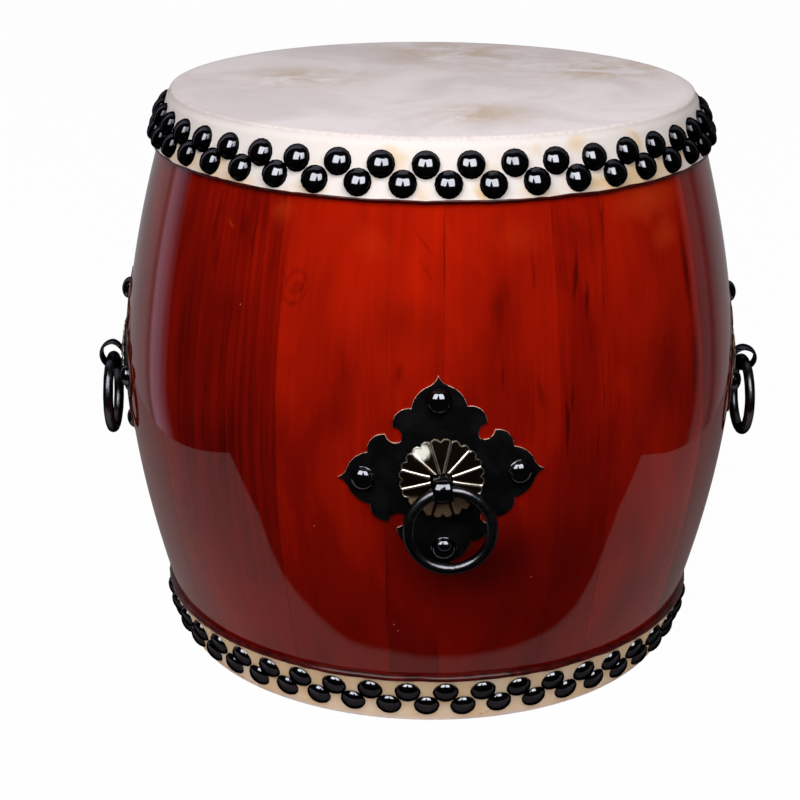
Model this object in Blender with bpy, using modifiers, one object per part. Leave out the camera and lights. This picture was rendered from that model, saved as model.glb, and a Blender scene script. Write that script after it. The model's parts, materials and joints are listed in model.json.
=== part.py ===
"""Barrel drum of glued staves, with a hide nailed over each end and four ring handles.

Metres, +Z up. The origin is the centre of the lower head, on which the drum stands.
The front is -Y. Azimuths are in degrees, from the front towards +X.
"""

import math
import random

import bmesh
import bpy
from mathutils import Matrix, Vector

# Barrel
DRUM_HEIGHT = 0.440
HEAD_DIAMETER = 0.400
BELLY_DIAMETER = 0.481
BELLY_POWER = 1.67
WALL = 0.014
OUTER_STEPS = 10
INNER_STEPS = 6
EASED_EDGE = 0.003
DEGREES_PER_STEP = 6.0

# Clearance between pieces that touch on the real drum
GAP = 0.0003

# Staves: the first glue line, then the widths of all staves but the last, which closes the barrel
FIRST_JOINT = 0.2
STAVE_WIDTHS = (20, 10.5, 24.5, 25, 26.5, 24, 27.5, 26, 24.5, 23, 21.5, 23, 27, 28, 19.5)

# Hides
HIDE = 0.0025
HIDE_GAP = 0.0005
SKIRT_DEPTH = 0.041
SKIRT_EDGE_LIFT = 0.0008
CREASE = 0.003
HIDE_SEGMENTS = 60

# Tacks of the hides: each end has two rows, and each list is in the order upper row, lower row
TACK_DIAMETER = 0.0186
TACK_HEIGHT = 0.0056
TACK_RIM = 0.0008
TACK_SHOULDER = 0.0029
TACK_SHOULDER_INSET = 0.0020
TACK_SIDES = 6
TACK_CLEARANCE = 0.0005
TOP_TACKS_PER_ROW = 43
TOP_TACK_LEVELS = (DRUM_HEIGHT - 0.0170, DRUM_HEIGHT - 0.0295)
TOP_TACK_START = -3.3
BOTTOM_TACKS_PER_ROW = 47
BOTTOM_TACK_LEVELS = (0.0310, 0.0180)
BOTTOM_TACK_START = -5.9
TACK_WANDER = 0.0004
TACK_SEED = 5

# Ring handles: azimuth and height, the tilts of plate and eye, and how far the ring has slid
HANDLES = {
    "front": (0, 0.2126, 2.4, 7.0, 0.0019),
    "right": (90, 0.2200, 2.4, 0.0, 0.0),
    "back": (180, 0.2200, 2.4, 0.0, 0.0),
    "left": (270, 0.2228, 0.0, 0.0, 0.0),
}
PLATE = 0.0012
PLATE_GAP = 0.0006
PLATE_TIP = (0.0, 0.0725)
PLATE_NECK = (0.0070, 0.0652)
PLATE_LOBE_END = (0.0193, 0.0503)
PLATE_HOOK = (0.0323, 0.0375)
PLATE_NOTCH = (0.0272, 0.0272)
PLATE_COLUMNS = 0.018
PLATE_ROWS = 0.024

STUD_REACH = 0.0545
STUD_DIAMETER = 0.018
STUD_HEIGHT = 0.0062
STUD_SPIKE_RADIUS = 0.0015
STUD_SPIKE = 0.0105
STUD_SIDES = 8
STUD_HOLE_RADIUS = 0.0021
STUD_HOLE_DEPTH = 0.0108

ROSETTE_PETALS = 12
ROSETTE_RADIUS = 0.0290
ROSETTE_VALLEY_RADIUS = 0.0268
ROSETTE_WAIST_RADIUS = 0.0185
ROSETTE_HOLE = (0.0150, 0.0144)
ROSETTE = 0.0009
ROSETTE_RISE = 0.0023
ROSETTE_RIDGE = 0.0007

EYE_DROP = 0.0024
STRAP_WIDTH = 0.0137
STRAP = 0.0020
LOOP_CENTRE = 0.0127
LOOP_RADIUS = 0.0089
LOOP_STEPS = 14
LEG_SPREAD = 0.0015
FILLET = 0.0020
FILLET_STEPS = 2
BENT_LEG = 0.0150
SLOT = (0.0145, 0.0058)

WASHER_SIDE = 0.022
WASHER = 0.0015
WASHER_STANDOFF = 0.0027

RING_DIAMETER = 0.066
RING_WIRE = 0.008
RING_DROP = 0.0020
RING_SEGMENTS = 20
RING_SIDES = 8

# Values that follow from those above
END_RADIUS = HEAD_DIAMETER / 2 - HIDE - HIDE_GAP
BELLY_RADIUS = BELLY_DIAMETER / 2
WOOD_TOP = DRUM_HEIGHT - HIDE - HIDE_GAP
WOOD_BOTTOM = HIDE + HIDE_GAP


def barrel_radius(z):
    """Outer radius of the wood at height z."""
    reach = abs(2 * z / DRUM_HEIGHT - 1)
    return END_RADIUS + (BELLY_RADIUS - END_RADIUS) * (1 - reach**BELLY_POWER)


def hide_radius(z):
    """Outer radius of a hide's skirt at height z: the edge lifts a little off the wood."""
    depth = min(z, DRUM_HEIGHT - z)
    lift = SKIRT_EDGE_LIFT * (depth / SKIRT_DEPTH) ** 2
    return barrel_radius(z) + HIDE_GAP + HIDE + lift


def on_barrel(radius, azimuth, z):
    turn = math.radians(azimuth)
    return Vector((radius * math.sin(turn), -radius * math.cos(turn), z))


def outward_frame(radius_at, azimuth, z):
    """Frame on a turned surface: X along it to the right, Y up along it, Z straight out of it."""
    step = 0.0005
    up = on_barrel(radius_at(z + step), azimuth, z + step)
    up -= on_barrel(radius_at(z - step), azimuth, z - step)
    up.normalize()
    turn = math.radians(azimuth)
    right = Vector((math.cos(turn), math.sin(turn), 0))
    out = right.cross(up)
    frame = Matrix((right, up, out)).transposed().to_4x4()
    frame.translation = on_barrel(radius_at(z), azimuth, z)
    return frame


def clear_scene():
    for item in list(bpy.data.objects):
        bpy.data.objects.remove(item, do_unlink=True)


def new_collection(name):
    collection = bpy.data.collections.new(name)
    bpy.context.scene.collection.children.link(collection)
    return collection


def new_material(name, colour, roughness, metallic):
    material = bpy.data.materials.new(name)
    material.use_nodes = True
    shader = material.node_tree.nodes["Principled BSDF"]
    shader.inputs["Base Color"].default_value = (*colour, 1)
    shader.inputs["Roughness"].default_value = roughness
    shader.inputs["Metallic"].default_value = metallic
    return material


def mesh_from(name, bm, sharp_degrees=35):
    bmesh.ops.recalc_face_normals(bm, faces=bm.faces)
    mesh = bpy.data.meshes.new(name)
    bm.to_mesh(mesh)
    bm.free()
    mesh.shade_smooth()
    mesh.set_sharp_from_angle(angle=math.radians(sharp_degrees))
    return mesh


def add_part(name, mesh, material, parent=None, matrix=None):
    part = bpy.data.objects.new(name, mesh)
    if not mesh.materials:
        mesh.materials.append(material)
    parts.objects.link(part)
    part.parent = parent
    if matrix is not None:
        part.matrix_local = matrix
    return part


def add_cutter(name, mesh, parent, matrix=None):
    cutter = bpy.data.objects.new(name, mesh)
    cutters.objects.link(cutter)
    cutter.parent = parent
    if matrix is not None:
        cutter.matrix_local = matrix
    cutter.hide_render = True
    cutter.display_type = "WIRE"
    return cutter


def cut(part, cutter):
    modifier = part.modifiers.new(f"cut_{cutter.name}", "BOOLEAN")
    modifier.operation = "DIFFERENCE"
    modifier.solver = "EXACT"
    modifier.object = cutter


def thicken(part, thickness, offset):
    modifier = part.modifiers.new("thickness", "SOLIDIFY")
    modifier.thickness = thickness
    modifier.offset = offset
    modifier.use_even_offset = True


def turn_profile(part, steps):
    modifier = part.modifiers.new("turned", "SCREW")
    modifier.axis = "Z"
    modifier.angle = math.tau
    modifier.steps = steps
    modifier.render_steps = steps
    modifier.use_merge_vertices = True
    modifier.merge_threshold = 0.00001


def profile_mesh(name, points):
    """Open profile at +X, as (radius, height) points from the top down, for turning."""
    bm = bmesh.new()
    corners = [bm.verts.new((radius, 0, z)) for radius, z in points]
    for one, other in zip(corners, corners[1:]):
        bm.edges.new((one, other))
    mesh = bpy.data.meshes.new(name)
    bm.to_mesh(mesh)
    bm.free()
    return mesh


def levels(top, bottom, steps):
    return [top + (bottom - top) * i / steps for i in range(steps + 1)]


def make_stave(name, start, width):
    """A stave is the barrel's wall section, spun through the stave's share of the circle."""
    joint = math.degrees(GAP / END_RADIUS)
    face_levels = levels(WOOD_TOP - EASED_EDGE, WOOD_BOTTOM + EASED_EDGE, OUTER_STEPS)
    outer = [(barrel_radius(WOOD_TOP) - EASED_EDGE, WOOD_TOP)]
    outer += [(barrel_radius(z), z) for z in face_levels]
    outer += [(barrel_radius(WOOD_BOTTOM) - EASED_EDGE, WOOD_BOTTOM)]
    inner = [(barrel_radius(z) - WALL, z) for z in levels(WOOD_BOTTOM, WOOD_TOP, INNER_STEPS)]
    bm = bmesh.new()
    first = start + joint / 2
    corners = [bm.verts.new(on_barrel(radius, first, z)) for radius, z in outer + inner]
    section = bm.faces.new(corners)
    bmesh.ops.spin(
        bm,
        geom=[section, *section.edges, *section.verts],
        cent=(0, 0, 0),
        axis=(0, 0, 1),
        angle=math.radians(width - joint),
        steps=max(1, round(width / DEGREES_PER_STEP)),
        use_merge=False,
        use_duplicate=False,
    )
    return add_part(name, mesh_from(name, bm), lacquer)


def make_staves():
    """Returns the staves as (start, end, object), azimuths counted from the first glue line."""
    widths = [*STAVE_WIDTHS, 360 - sum(STAVE_WIDTHS)]
    staves = []
    start = FIRST_JOINT
    for number, width in enumerate(widths, 1):
        staves.append((start, start + width, make_stave(f"stave_{number:02d}", start, width)))
        start += width
    return staves


def make_heads():
    """Each hide is an open cup, turned from its face and skirt and given the hide's thickness inwards."""
    edge = hide_radius(DRUM_HEIGHT)
    skirt_levels = levels(DRUM_HEIGHT - CREASE, DRUM_HEIGHT - SKIRT_DEPTH, 2)
    upper = [(0, DRUM_HEIGHT), (edge - CREASE, DRUM_HEIGHT)]
    upper += [(hide_radius(z), z) for z in skirt_levels]
    lower = [(radius, DRUM_HEIGHT - z) for radius, z in reversed(upper)]
    for name, points in (("head_top", upper), ("head_bottom", lower)):
        head = add_part(name, profile_mesh(name, points), hide)
        turn_profile(head, HIDE_SEGMENTS)
        thicken(head, HIDE, -1)


def tack_places(per_row, row_levels, start):
    """Places in zigzag order. Hand-set tacks wander a little off their marks."""
    wander = random.Random(TACK_SEED)
    places = []
    for number in range(2 * per_row):
        azimuth = start + number * 180 / per_row
        z = row_levels[number % 2] + wander.uniform(-TACK_WANDER, TACK_WANDER)
        azimuth += math.degrees(wander.uniform(-TACK_WANDER, TACK_WANDER) / END_RADIUS)
        places.append(outward_frame(hide_radius, azimuth, z))
    return places


def add_tack_head(bm, frame):
    """A rim, a shoulder and a point in the middle make a low dome. Returns its side faces."""
    lift = Matrix.Translation((0, 0, TACK_CLEARANCE + TACK_RIM / 2))
    made = bmesh.ops.create_cone(
        bm,
        cap_ends=True,
        segments=TACK_SIDES,
        radius1=TACK_DIAMETER / 2,
        radius2=TACK_DIAMETER / 2,
        depth=TACK_RIM,
        matrix=frame @ lift,
    )
    faces = {face for corner in made["verts"] for face in corner.link_faces}
    out = frame.col[2].to_3d()
    crown = max(faces, key=lambda face: face.calc_center_median().dot(out))
    sides = [face for face in faces if len(face.verts) == 4]
    bmesh.ops.inset_individual(bm, faces=[crown], thickness=TACK_SHOULDER_INSET, depth=TACK_SHOULDER)
    bmesh.ops.poke(bm, faces=[crown], offset=TACK_HEIGHT - TACK_RIM - TACK_SHOULDER)
    return sides


def facing(sides, place):
    return min(sides, key=lambda face: (face.calc_center_median() - place).length)


def make_tacks(name, places):
    """All the tacks of one end, joined by thin webs under the rims of neighbours."""
    bm = bmesh.new()
    heads = [add_tack_head(bm, frame) for frame in places]
    links = []
    for number, sides in enumerate(heads):
        following = (number + 1) % len(heads)
        leaving = facing(sides, places[following].translation)
        arriving = facing(heads[following], places[number].translation)
        links.append((leaving, arriving))
    for leaving, arriving in links:
        edges = [*leaving.edges, *arriving.edges]
        bmesh.ops.delete(bm, geom=[leaving, arriving], context="FACES_ONLY")
        bmesh.ops.bridge_loops(bm, edges=edges)
    return add_part(name, mesh_from(name, bm), iron)


def arc(start, end, bulge, steps):
    """Points after start and up to end, on an arc that stands bulge to the left of its chord."""
    start = Vector(start)
    end = Vector(end)
    chord = end - start
    half = chord.length / 2
    radius = (half**2 + bulge**2) / (2 * abs(bulge))
    side = math.copysign(1, bulge)
    left = Vector((-chord.y, chord.x)).normalized() * side
    centre = (start + end) / 2 + left * (abs(bulge) - radius)
    sweep = -side * 4 * math.atan2(abs(bulge), half)
    points = []
    for number in range(1, steps + 1):
        points.append(centre + Matrix.Rotation(sweep * number / steps, 2) @ (start - centre))
    return points


def plate_outline(tilt):
    """An eighth of the outline, from the tip to the notch, is mirrored and turned to make it all."""
    eighth = [Vector(PLATE_TIP)]
    eighth += arc(PLATE_TIP, PLATE_NECK, -0.0012, 2)
    eighth += arc(PLATE_NECK, PLATE_LOBE_END, 0.0026, 3)
    eighth += arc(PLATE_LOBE_END, PLATE_HOOK, 0.0046, 3)
    eighth += arc(PLATE_HOOK, PLATE_NOTCH, -0.0032, 2)
    quarter = eighth + [point.yx for point in reversed(eighth[:-1])]
    outline = []
    for number in range(4):
        turn = Matrix.Rotation(math.radians(tilt - 90 * number), 2)
        outline += [turn @ point for point in quarter[:-1]]
    return outline


def wrapped(level, x, z, height):
    """Point of a handle's frame that lies x along the belly and z up, a height off the wood."""
    centre_radius = barrel_radius(level)
    turn = x / centre_radius
    radius = barrel_radius(level + z) + height
    return Vector((radius * math.sin(turn), centre_radius - radius * math.cos(turn), z))


def flat_sheet(name, outline):
    """A filled flat outline, as one face, in X and Z."""
    curve = bpy.data.curves.new(name, "CURVE")
    curve.dimensions = "2D"
    curve.fill_mode = "BOTH"
    spline = curve.splines.new("POLY")
    spline.points.add(len(outline) - 1)
    for point, place in zip(spline.points, outline):
        point.co = (place.x, place.y, 0, 1)
    spline.use_cyclic_u = True
    guide = bpy.data.objects.new(name, curve)
    cutters.objects.link(guide)
    filled = bpy.data.meshes.new_from_object(guide.evaluated_get(bpy.context.evaluated_depsgraph_get()))
    bm = bmesh.new()
    bm.from_mesh(filled)
    bpy.data.objects.remove(guide)
    bpy.data.curves.remove(curve)
    bpy.data.meshes.remove(filled)
    bmesh.ops.remove_doubles(bm, verts=bm.verts, dist=0.00001)
    inner_edges = [edge for edge in bm.edges if len(edge.link_faces) == 2]
    bmesh.ops.dissolve_edges(bm, edges=inner_edges)
    bmesh.ops.transform(bm, matrix=Matrix.Rotation(math.radians(90), 4, "X"), verts=bm.verts)
    return bm


def face_outwards(bm):
    """Open sheets of a handle face -Y, so that their thickness goes outwards."""
    bmesh.ops.recalc_face_normals(bm, faces=bm.faces)
    if sum(face.normal.y * face.calc_area() for face in bm.faces) > 0:
        bmesh.ops.reverse_faces(bm, faces=bm.faces)


def plate_mesh(level, tilt):
    """The flat sheet is cut in squares, which let it bend, and wrapped round the belly."""
    bm = flat_sheet("plate_outline", plate_outline(tilt))
    for axis, spacing in ((0, PLATE_COLUMNS), (2, PLATE_ROWS)):
        normal = [0, 0, 0]
        normal[axis] = 1
        reach = int(PLATE_TIP[1] / spacing)
        for number in range(-reach, reach + 1):
            place = [0, 0, 0]
            place[axis] = number * spacing
            geometry = [*bm.verts, *bm.edges, *bm.faces]
            bmesh.ops.bisect_plane(bm, geom=geometry, plane_co=place, plane_no=normal, dist=0.000001)
    for corner in bm.verts:
        corner.co = wrapped(level, corner.co.x, corner.co.z, PLATE_GAP)
    face_outwards(bm)
    mesh = bpy.data.meshes.new("plate")
    bm.to_mesh(mesh)
    bm.free()
    return mesh


def hole_point(turn, eye_tilt):
    """Point at an angle on the edge of the rosette's hole, which is lowered and tilted with the eye."""
    turn -= math.radians(eye_tilt)
    across = math.cos(turn) / (ROSETTE_HOLE[0] / 2)
    up = math.sin(turn) / (ROSETTE_HOLE[1] / 2)
    reach = 1 / max(abs(across), abs(up))
    turn += math.radians(eye_tilt)
    return reach * math.cos(turn), reach * math.sin(turn) - EYE_DROP


def rosette_mesh(level, tilt, eye_tilt):
    """Three loops of points, at the hole, the waist and the petal ends, are bridged into a shell."""
    bm = bmesh.new()
    floor = PLATE_GAP + PLATE + GAP
    loops = [[], [], []]
    for number in range(2 * ROSETTE_PETALS):
        between_petals = number % 2
        turn = math.radians(90 + tilt) + number * math.pi / ROSETTE_PETALS
        ridge = ROSETTE_RIDGE * between_petals
        rim = ROSETTE_VALLEY_RADIUS if between_petals else ROSETTE_RADIUS
        places = [
            (*hole_point(turn, eye_tilt), ROSETTE_RISE),
            (ROSETTE_WAIST_RADIUS * math.cos(turn), ROSETTE_WAIST_RADIUS * math.sin(turn), ROSETTE_RISE / 2 + ridge),
            (rim * math.cos(turn), rim * math.sin(turn), ridge),
        ]
        for loop, (x, z, height) in zip(loops, places):
            loop.append(bm.verts.new(wrapped(level, x, z, floor + height)))
    edges = []
    for loop in loops:
        edges.append([bm.edges.new((one, other)) for one, other in zip(loop, loop[1:] + loop[:1])])
    bmesh.ops.bridge_loops(bm, edges=edges[0] + edges[1])
    bmesh.ops.bridge_loops(bm, edges=edges[1] + edges[2])
    face_outwards(bm)
    mesh = bpy.data.meshes.new("rosette")
    bm.to_mesh(mesh)
    bm.free()
    mesh.shade_smooth()
    mesh.set_sharp_from_angle(angle=math.radians(35))
    return mesh


def strap_path():
    """Half of the strap's middle line, in Y and Z: from the bent tip inside, out, and round the loop."""
    leg_bend = WALL + WASHER_STANDOFF + WASHER + GAP + STRAP / 2
    points = [Vector((leg_bend, BENT_LEG)), Vector((leg_bend, LEG_SPREAD))]
    spread = LEG_SPREAD + FILLET
    fillet_centre = Vector((math.sqrt((LOOP_RADIUS + FILLET) ** 2 - spread**2) - LOOP_CENTRE, spread))
    loop_centre = Vector((-LOOP_CENTRE, 0))
    to_loop = loop_centre - fillet_centre
    last = math.atan2(to_loop.y, to_loop.x) % math.tau
    first = math.radians(270)
    for number in range(FILLET_STEPS + 1):
        turn = first + (last - first) * number / FILLET_STEPS
        points.append(fillet_centre + FILLET * Vector((math.cos(turn), math.sin(turn))))
    away = fillet_centre - loop_centre
    begin = math.atan2(away.y, away.x)
    for number in range(1, LOOP_STEPS // 2 + 1):
        turn = begin + (math.pi - begin) * number / (LOOP_STEPS // 2)
        points.append(loop_centre + LOOP_RADIUS * Vector((math.cos(turn), math.sin(turn))))
    return points


def eye_mesh():
    """The strap is a ribbon along its middle line, made thick afterwards."""
    half = strap_path()
    path = half + [Vector((point.x, -point.y)) for point in reversed(half[:-1])]
    bm = bmesh.new()
    corners = [bm.verts.new((-STRAP_WIDTH / 2, point.x, point.y)) for point in path]
    edges = [bm.edges.new(pair) for pair in zip(corners, corners[1:])]
    ribbon = bmesh.ops.extrude_edge_only(bm, edges=edges)
    moved = [item for item in ribbon["geom"] if isinstance(item, bmesh.types.BMVert)]
    bmesh.ops.translate(bm, vec=(STRAP_WIDTH, 0, 0), verts=moved)
    return mesh_from("eye", bm)


def box_mesh(name, size, place):
    bm = bmesh.new()
    bmesh.ops.create_cube(bm, size=1, matrix=Matrix.Translation(place) @ Matrix.Diagonal((*size, 1)))
    return mesh_from(name, bm)


def ring_mesh():
    """The ring's own origin is the middle of its wire, where it hangs in the eye."""
    bpy.ops.mesh.primitive_torus_add(
        major_segments=RING_SEGMENTS,
        minor_segments=RING_SIDES,
        major_radius=(RING_DIAMETER - RING_WIRE) / 2,
        minor_radius=RING_WIRE / 2,
    )
    maker = bpy.context.object
    mesh = maker.data
    bpy.data.objects.remove(maker)
    mesh.name = "ring"
    mesh.transform(Matrix.Rotation(math.radians(90), 4, "X"))
    mesh.transform(Matrix.Translation((0, 0, (RING_WIRE - RING_DIAMETER) / 2)))
    mesh.shade_smooth()
    return mesh


def stud_profile():
    radius = STUD_DIAMETER / 2
    dome = [(0, STUD_HEIGHT), (0.62 * radius, 0.78 * STUD_HEIGHT), (radius, 0)]
    return profile_mesh("stud", dome + [(STUD_SPIKE_RADIUS, 0), (0, -STUD_SPIKE)])


def stud_frames(level, tilt):
    """Frames of the four studs in the handle's frame, and their azimuths on the barrel."""
    frames = {}
    for name, turn in (("right", 0), ("top", 90), ("left", 180), ("bottom", 270)):
        turn = math.radians(turn + tilt)
        x = STUD_REACH * math.cos(turn)
        z = level + STUD_REACH * math.sin(turn)
        azimuth = math.degrees(x / barrel_radius(level))
        frame = outward_frame(barrel_radius, azimuth, z)
        frame.translation -= Vector((0, -barrel_radius(level), level))
        frames[name] = (frame, azimuth)
    return frames


def cut_staves(staves, cutter, azimuth, half_width):
    """Cuts each stave that the cutter reaches, wherever the azimuth lies on the circle."""
    for start, end, stave in staves:
        middle = (start + end) / 2
        distance = abs((azimuth - middle + 180) % 360 - 180)
        if distance < (end - start) / 2 + half_width:
            cut(stave, cutter)


def make_handle(side, shared, staves):
    azimuth, level, tilt, eye_tilt, ring_slide = HANDLES[side]
    centre_radius = barrel_radius(level)
    base = bpy.data.objects.new(f"handle_{side}", None)
    parts.objects.link(base)
    base.location = on_barrel(centre_radius, azimuth, level)
    base.rotation_euler.z = math.radians(azimuth)

    plate = add_part(f"plate_{side}", plate_mesh(level, tilt), iron, base)
    thicken(plate, PLATE, 1)
    rosette = add_part(f"rosette_{side}", rosette_mesh(level, tilt, eye_tilt), brass, base)
    thicken(rosette, ROSETTE, 1)
    eye_place = Matrix.Translation((0, 0, -EYE_DROP)) @ Matrix.Rotation(math.radians(-eye_tilt), 4, "Y")
    eye = add_part(f"eye_{side}", shared["eye"], iron, base, eye_place)
    thicken(eye, STRAP, 0)
    washer = add_part(f"washer_{side}", shared["washer"], iron, base, eye_place)
    pivot = eye_place @ Matrix.Translation((ring_slide, -LOOP_CENTRE, -RING_DROP))
    add_part(f"ring_{side}", shared["ring"], iron, base, pivot)

    slot = add_cutter(f"slot_cutter_{side}", shared["slot"], base, eye_place)
    for piece in (plate, washer):
        cut(piece, slot)
    cut_staves(staves, slot, azimuth, math.degrees(math.hypot(*SLOT) / 2 / centre_radius))

    for place, (frame, stud_azimuth) in stud_frames(level, tilt).items():
        out = Matrix.Translation((0, 0, PLATE_GAP + PLATE + GAP))
        stud = add_part(f"stud_{side}_{place}", shared["stud"], iron, base, frame @ out)
        turn_profile(stud, STUD_SIDES)
        hole = add_cutter(f"hole_cutter_{side}_{place}", shared["hole"], base, frame)
        cut(plate, hole)
        reach = math.degrees(STUD_HOLE_RADIUS / centre_radius)
        cut_staves(staves, hole, azimuth + stud_azimuth, reach)


def hole_mesh():
    """Cutter for a stud's spike: as deep as the hole in the wood, and out past the plate."""
    top = 0.004
    bm = bmesh.new()
    bmesh.ops.create_cone(
        bm,
        cap_ends=True,
        segments=6,
        radius1=STUD_HOLE_RADIUS,
        radius2=STUD_HOLE_RADIUS,
        depth=STUD_HOLE_DEPTH + top,
        matrix=Matrix.Translation((0, 0, (top - STUD_HOLE_DEPTH) / 2)),
    )
    return mesh_from("stud_hole", bm)


def make_handles(staves):
    washer_y = WALL + WASHER_STANDOFF + WASHER / 2
    slot_length = 0.030
    slot_middle = 0.009
    shared = {
        "eye": eye_mesh(),
        "washer": box_mesh("washer", (WASHER_SIDE, WASHER, WASHER_SIDE), (0, washer_y, 0)),
        "ring": ring_mesh(),
        "stud": stud_profile(),
        "slot": box_mesh("slot", (SLOT[0], slot_length, SLOT[1]), (0, slot_middle, 0)),
        "hole": hole_mesh(),
    }
    for side in HANDLES:
        make_handle(side, shared, staves)


clear_scene()
parts = new_collection("barrel_drum")
cutters = new_collection("cutters")
lacquer = new_material("red_lacquer", (0.26, 0.012, 0.004), 0.15, 0.0)
hide = new_material("cowhide", (0.78, 0.70, 0.60), 0.65, 0.0)
iron = new_material("black_iron", (0.012, 0.012, 0.014), 0.25, 0.6)
brass = new_material("gilt_brass", (0.80, 0.66, 0.40), 0.25, 1.0)

all_staves = make_staves()
make_heads()
make_tacks("tacks_top", tack_places(TOP_TACKS_PER_ROW, TOP_TACK_LEVELS, TOP_TACK_START))
make_tacks("tacks_bottom", tack_places(BOTTOM_TACKS_PER_ROW, BOTTOM_TACK_LEVELS, BOTTOM_TACK_START))
make_handles(all_staves)
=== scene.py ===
import json
import math
import random
from collections import namedtuple

import bmesh
import bpy
from mathutils import Matrix, Vector, noise

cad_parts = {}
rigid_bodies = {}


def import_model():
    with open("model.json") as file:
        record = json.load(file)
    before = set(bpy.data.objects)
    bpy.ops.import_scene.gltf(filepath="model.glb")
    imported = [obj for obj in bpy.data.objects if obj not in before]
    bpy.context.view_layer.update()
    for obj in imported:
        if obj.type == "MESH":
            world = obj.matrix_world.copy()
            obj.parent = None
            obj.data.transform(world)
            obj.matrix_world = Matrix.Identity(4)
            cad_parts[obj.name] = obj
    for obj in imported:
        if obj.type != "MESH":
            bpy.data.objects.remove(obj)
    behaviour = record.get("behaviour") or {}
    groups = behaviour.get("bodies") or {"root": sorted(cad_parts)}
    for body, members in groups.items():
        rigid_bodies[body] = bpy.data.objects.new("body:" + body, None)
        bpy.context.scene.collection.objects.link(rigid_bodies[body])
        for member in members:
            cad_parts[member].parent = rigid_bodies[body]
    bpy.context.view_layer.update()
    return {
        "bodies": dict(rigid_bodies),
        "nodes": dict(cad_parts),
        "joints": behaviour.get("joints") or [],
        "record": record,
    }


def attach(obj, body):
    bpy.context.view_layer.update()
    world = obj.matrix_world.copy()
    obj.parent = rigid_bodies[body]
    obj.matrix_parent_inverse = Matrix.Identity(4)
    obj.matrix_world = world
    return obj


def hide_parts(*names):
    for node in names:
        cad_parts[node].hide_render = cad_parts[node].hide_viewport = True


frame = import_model()
scene = bpy.context.scene

# %% [markdown]
# ## The barrel's shape
# A few driving sizes say how the staves bulge. Every piece on the barrel asks the same two
# functions for its place, so that a tack or a plate always sits on the surface that carries it.
# Azimuths are in degrees, from the front (-Y) towards +X.
# %% Sizes of the barrel, in metres
DRUM_HEIGHT = 0.440
END_RADIUS = 0.197
BELLY_RADIUS = 0.2405
BELLY_POWER = 1.67
WALL = 0.014
HIDE = 0.0025
HIDE_GAP = 0.0005
WOOD_TOP = DRUM_HEIGHT - HIDE - HIDE_GAP
WOOD_BOTTOM = HIDE + HIDE_GAP
SKIRT_DEPTH = 0.041
SKIRT_EDGE_LIFT = 0.0008


def barrel_radius(z):
    """Outer radius of the wood at height z."""
    reach = abs(2 * z / DRUM_HEIGHT - 1)
    return END_RADIUS + (BELLY_RADIUS - END_RADIUS) * (1 - reach**BELLY_POWER)


def hide_radius(z):
    """Outer radius of a hide's skirt at height z."""
    depth = min(z, DRUM_HEIGHT - z)
    return barrel_radius(z) + HIDE_GAP + HIDE + SKIRT_EDGE_LIFT * (depth / SKIRT_DEPTH) ** 2


def on_barrel(radius, azimuth, z):
    turn = math.radians(azimuth)
    return Vector((radius * math.sin(turn), -radius * math.cos(turn), z))


def azimuth_of(place):
    return math.degrees(math.atan2(place.x, -place.y))


def outward_at(place):
    """The level direction out of the drum."""
    return Vector((place.x, place.y, 0)).normalized()


def outward_frame(radius_at, azimuth, z):
    """Frame on a turned surface: X along it to the right, Y up along it, Z straight out of it."""
    step = 0.0005
    up = on_barrel(radius_at(z + step), azimuth, z + step)
    up -= on_barrel(radius_at(z - step), azimuth, z - step)
    up.normalize()
    turn = math.radians(azimuth)
    right = Vector((math.cos(turn), math.sin(turn), 0))
    placed = Matrix((right, up, right.cross(up))).transposed().to_4x4()
    placed.translation = on_barrel(radius_at(z), azimuth, z)
    return placed


for part, z in (("belly", DRUM_HEIGHT / 2), ("end", WOOD_TOP)):
    print(part, "radius", round(barrel_radius(z), 4))

# %% [markdown]
# ## Helpers for modelling
# An operator acts on whatever is selected, and the loaded nodes start out selected. So everything
# is deselected first, and each helper leaves just the new object active. In edit mode the
# vertices, edges or faces to work on are chosen by a test on their place or normal. Two small
# functions of numbers come up all the time: a value kept within limits, and a soft bell curve.
# %% Modelling helpers
def clamp(value, low=0, high=1):
    return max(low, min(high, value))


def bell(distance, reach):
    """1 at no distance, and softly down to nothing past the reach."""
    return math.exp(-((distance / reach) ** 2))


def only(piece):
    """Makes this the one selected and active object."""
    bpy.ops.object.select_all(action="DESELECT")
    piece.select_set(True)
    bpy.context.view_layer.objects.active = piece
    return piece


def start_from(name, add_primitive, **settings):
    """Adds a primitive with nothing else selected, and names it."""
    bpy.ops.object.select_all(action="DESELECT")
    add_primitive(**settings)
    piece = bpy.context.object
    piece.name = name
    return piece


def edit(piece, mode="VERT"):
    only(piece)
    bpy.ops.object.mode_set(mode="EDIT")
    bpy.ops.mesh.select_mode(type=mode)
    return bmesh.from_edit_mesh(piece.data)


def edit_all(piece, mode="VERT"):
    """Edit mode with everything selected."""
    edit(piece, mode)
    bpy.ops.mesh.select_all(action="SELECT")


def leave_edit():
    bpy.ops.object.mode_set(mode="OBJECT")


def choose(mesh, items, test):
    """In edit mode, selects only the vertices, edges or faces that pass the test."""
    bpy.ops.mesh.select_all(action="DESELECT")
    chosen = [item for item in items if test(item)]
    for item in chosen:
        item.select_set(True)
    mesh.select_flush_mode()
    return len(chosen)


def apply_modifier(piece, kind, **settings):
    """Adds a modifier, sets it, and applies it at once."""
    only(piece)
    modifier = piece.modifiers.new(kind.lower(), kind)
    for name, value in settings.items():
        setattr(modifier, name, value)
    bpy.ops.object.modifier_apply(modifier=modifier.name)
    return piece


def settle(piece, matrix):
    """Moves a piece by a matrix that ends up in its mesh, so that its object sits at the origin."""
    piece.matrix_world = matrix
    only(piece)
    bpy.ops.object.transform_apply(location=True, rotation=True, scale=True)
    return piece


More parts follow.
